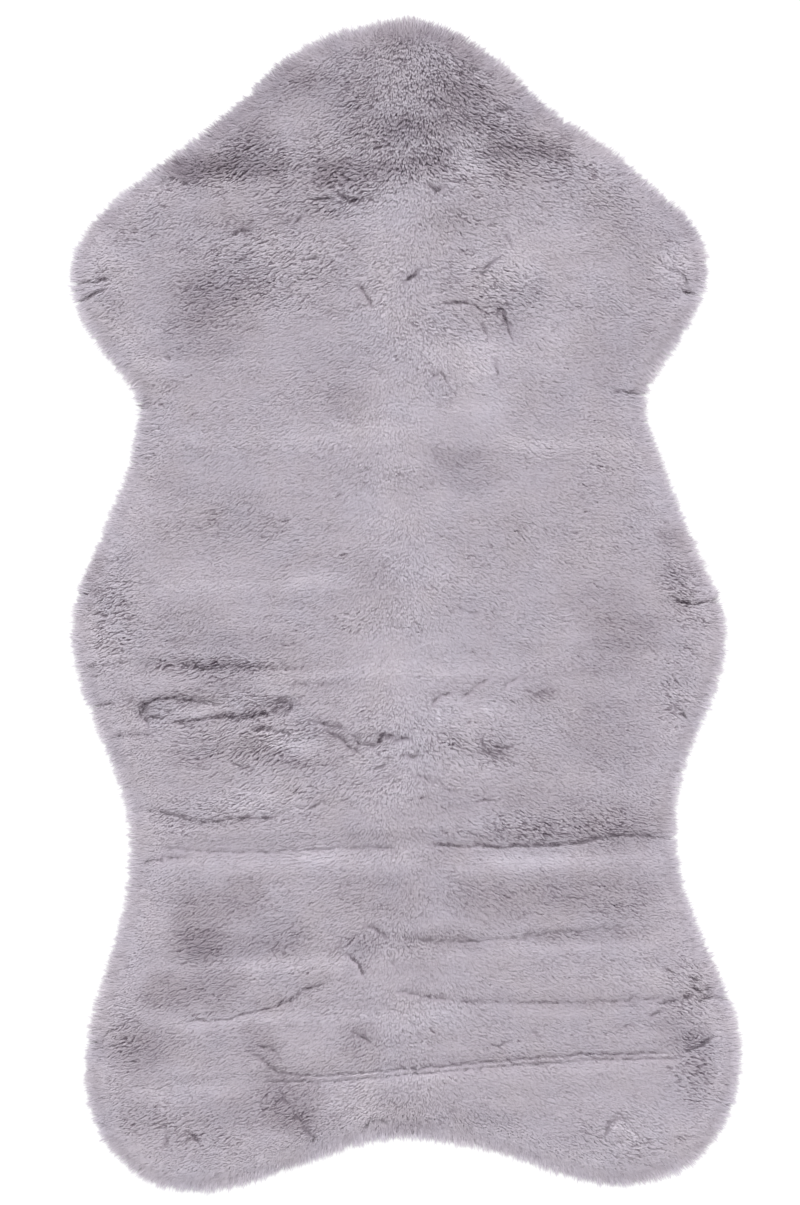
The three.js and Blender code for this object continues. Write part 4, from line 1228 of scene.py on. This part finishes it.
def ground_piece():
    head = between(CORNERS["left_shoulder"], CORNERS["right_shoulder"], CELLS_ACROSS, True)
    right = between(CORNERS["right_shoulder"], CORNERS["right_foot"], CELLS_ALONG, False)
    tail = between(CORNERS["right_foot"], CORNERS["left_foot"], CELLS_ACROSS, True)[::-1]
    left = between(CORNERS["left_foot"], CORNERS["left_shoulder"], CELLS_ALONG, False)[::-1]
    u = np.linspace(0, 1, CELLS_ACROSS + 1)[None, :, None]
    v = np.linspace(0, 1, CELLS_ALONG + 1)[:, None, None]
    grid = left[:, None, :] * (1 - u) + right[:, None, :] * u
    head_bend = head - (left[0] * (1 - u[0]) + right[0] * u[0])
    tail_bend = tail - (left[-1] * (1 - u[0]) + right[-1] * u[0])
    grid = grid + head_bend[None] * (1 - v) ** BEND_FADING + tail_bend[None] * v ** BEND_FADING
    x, y = grid[..., 0], grid[..., 1]
    rough = fine.read(f_rough, x, y)
    z = fine.read(f_height, x, y) - with_rough(UNDERCOAT_DROP, rough) + 0.3 * noise(x, y, 4, 3, 61)
    z = np.maximum(GROUND_HEIGHT + (z - GROUND_HEIGHT) * smooth(inside(x, y) / GROUND_FADE), GROUND_HEIGHT)
    top = np.arange(x.size).reshape(x.shape)
    a, b, c, d = top[:-1, :-1].ravel(), top[:-1, 1:].ravel(), top[1:, 1:].ravel(), top[1:, :-1].ravel()
    verts = np.stack([x.ravel(), y.ravel(), z.ravel()], 1)
    ring = np.concatenate([top[0, :-1], top[:-1, -1], top[-1, :0:-1], top[:0:-1, 0]])
    low = verts[ring] * (1, 1, 0)
    low_index = len(verts) + np.arange(len(ring))
    nxt = np.roll(np.arange(len(ring)), -1)
    faces = np.concatenate([np.stack([a, d, c], 1), np.stack([a, c, b], 1),
                            np.stack([ring, ring[nxt], low_index[nxt]], 1),
                            np.stack([ring, low_index[nxt], low_index], 1)])
    levels = fine.read(f_shade, x, y).ravel() + with_rough(UNDERCOAT_LEVELS, rough).ravel()
    shade = np.concatenate([shade_share(levels), np.full(len(ring), EDGE_SHADE)])
    verts = np.concatenate([verts, low])
    along = np.full(len(verts), UNDERCOAT_ALONG)
    piece = build("ground", verts, faces, None, {"shade": shade, "along": along})
    bm = bmesh.new()
    bm.from_mesh(piece.data)
    bm.verts.ensure_lookup_table()
    underside = bm.faces.new([bm.verts[k] for k in low_index])
    underside.material_index = 1
    bm.to_mesh(piece.data)
    bm.free()
    return piece


# The scene

# The fringe is lit less than the pile, so it is this many levels paler.
FRINGE_LIFT = 7.5
# The fringe's roots are covered, and it starts this far along the shading of a strand.
FRINGE_SHARE = 0.6
PHOTO_HEIGHT = 1205
PIXEL = 0.89
# The middle of the view, in pixels of the photo from the origin of the tables.
VIEW_MIDDLE = (-6, 2.5)
FOCAL_LENGTH = 200
SENSOR = 36
CAMERA_CLEARANCE = 0.01
FLOOR_REACH = 6
SKY_STRENGTH = 0.95
SUN_STRENGTH = 1.35
SUN_ANGLE = 60
SUN_WAY = (0.0, -1.0, -1.2)


def make_rug():
    fur = fur_material("fur pile")
    ground = ground_piece()
    ground.data.materials.append(fur)
    ground.data.materials.append(knit_material("knitted back"))
    pile = Strands(*(np.concatenate(pair) for pair in zip(pile_strands(), parting_shadow_strands())))
    names = ["pile_tail", "pile_loin", "pile_middle", "pile_waist", "pile_head"]
    cuts = np.quantile(pile.root[:, 1], np.arange(1, len(names)) / len(names))
    part = np.searchsorted(cuts, pile.root[:, 1])
    pieces = [strand_mesh(name, Strands(*(row[part == k] for row in pile))) for k, name in enumerate(names)]
    fringe = fringe_strands()
    fringe = fringe._replace(levels=fringe.levels + FRINGE_LIFT)
    pieces.append(strand_mesh("fringe", fringe, FRINGE_SHARE))
    for piece in pieces:
        piece.data.materials.append(fur)
    for piece in [ground] + pieces:
        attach(piece, "root")
        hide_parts("pelt")


def make_stage():
    mesh = bpy.data.meshes.new("floor")
    corners = [(-1, -1), (1, -1), (1, 1), (-1, 1)]
    mesh.from_pydata([(FLOOR_REACH * x, FLOOR_REACH * y, 0) for x, y in corners], [], [(0, 1, 2, 3)])
    floor = bpy.data.objects.new("floor", mesh)
    bpy.context.scene.collection.objects.link(floor)
    mat = bpy.data.materials.new("floor")
    mat.use_nodes = True
    shader = mat.node_tree.nodes["Principled BSDF"]
    shader.inputs["Base Color"].default_value = (0.9, 0.9, 0.9, 1)
    shader.inputs["Roughness"].default_value = 0.9
    mesh.materials.append(mat)

    lens = bpy.data.cameras.new("camera")
    lens.lens = FOCAL_LENGTH
    lens.sensor_width = SENSOR
    camera = bpy.data.objects.new("camera", lens)
    view_height = PHOTO_HEIGHT * PIXEL * MM
    middle_x, middle_y = (np.array(VIEW_MIDDLE) * PIXEL + SHIFT[:2]) * MM
    camera.location = (middle_x, middle_y, CAMERA_CLEARANCE + view_height * FOCAL_LENGTH / SENSOR)
    bpy.context.scene.collection.objects.link(camera)
    bpy.context.scene.camera = camera

    world = bpy.data.worlds.new("studio")
    world.use_nodes = True
    world.node_tree.nodes["Background"].inputs["Color"].default_value = (1, 1, 1, 1)
    world.node_tree.nodes["Background"].inputs["Strength"].default_value = SKY_STRENGTH
    bpy.context.scene.world = world
    sun = bpy.data.lights.new("key", "SUN")
    sun.energy = SUN_STRENGTH
    sun.angle = math.radians(SUN_ANGLE)
    key = bpy.data.objects.new("key", sun)
    key.rotation_euler = Vector(SUN_WAY).to_track_quat("-Z", "Y").to_euler()
    bpy.context.scene.collection.objects.link(key)
    bpy.context.scene.view_settings.view_transform = "Standard"


make_stage()
make_rug()
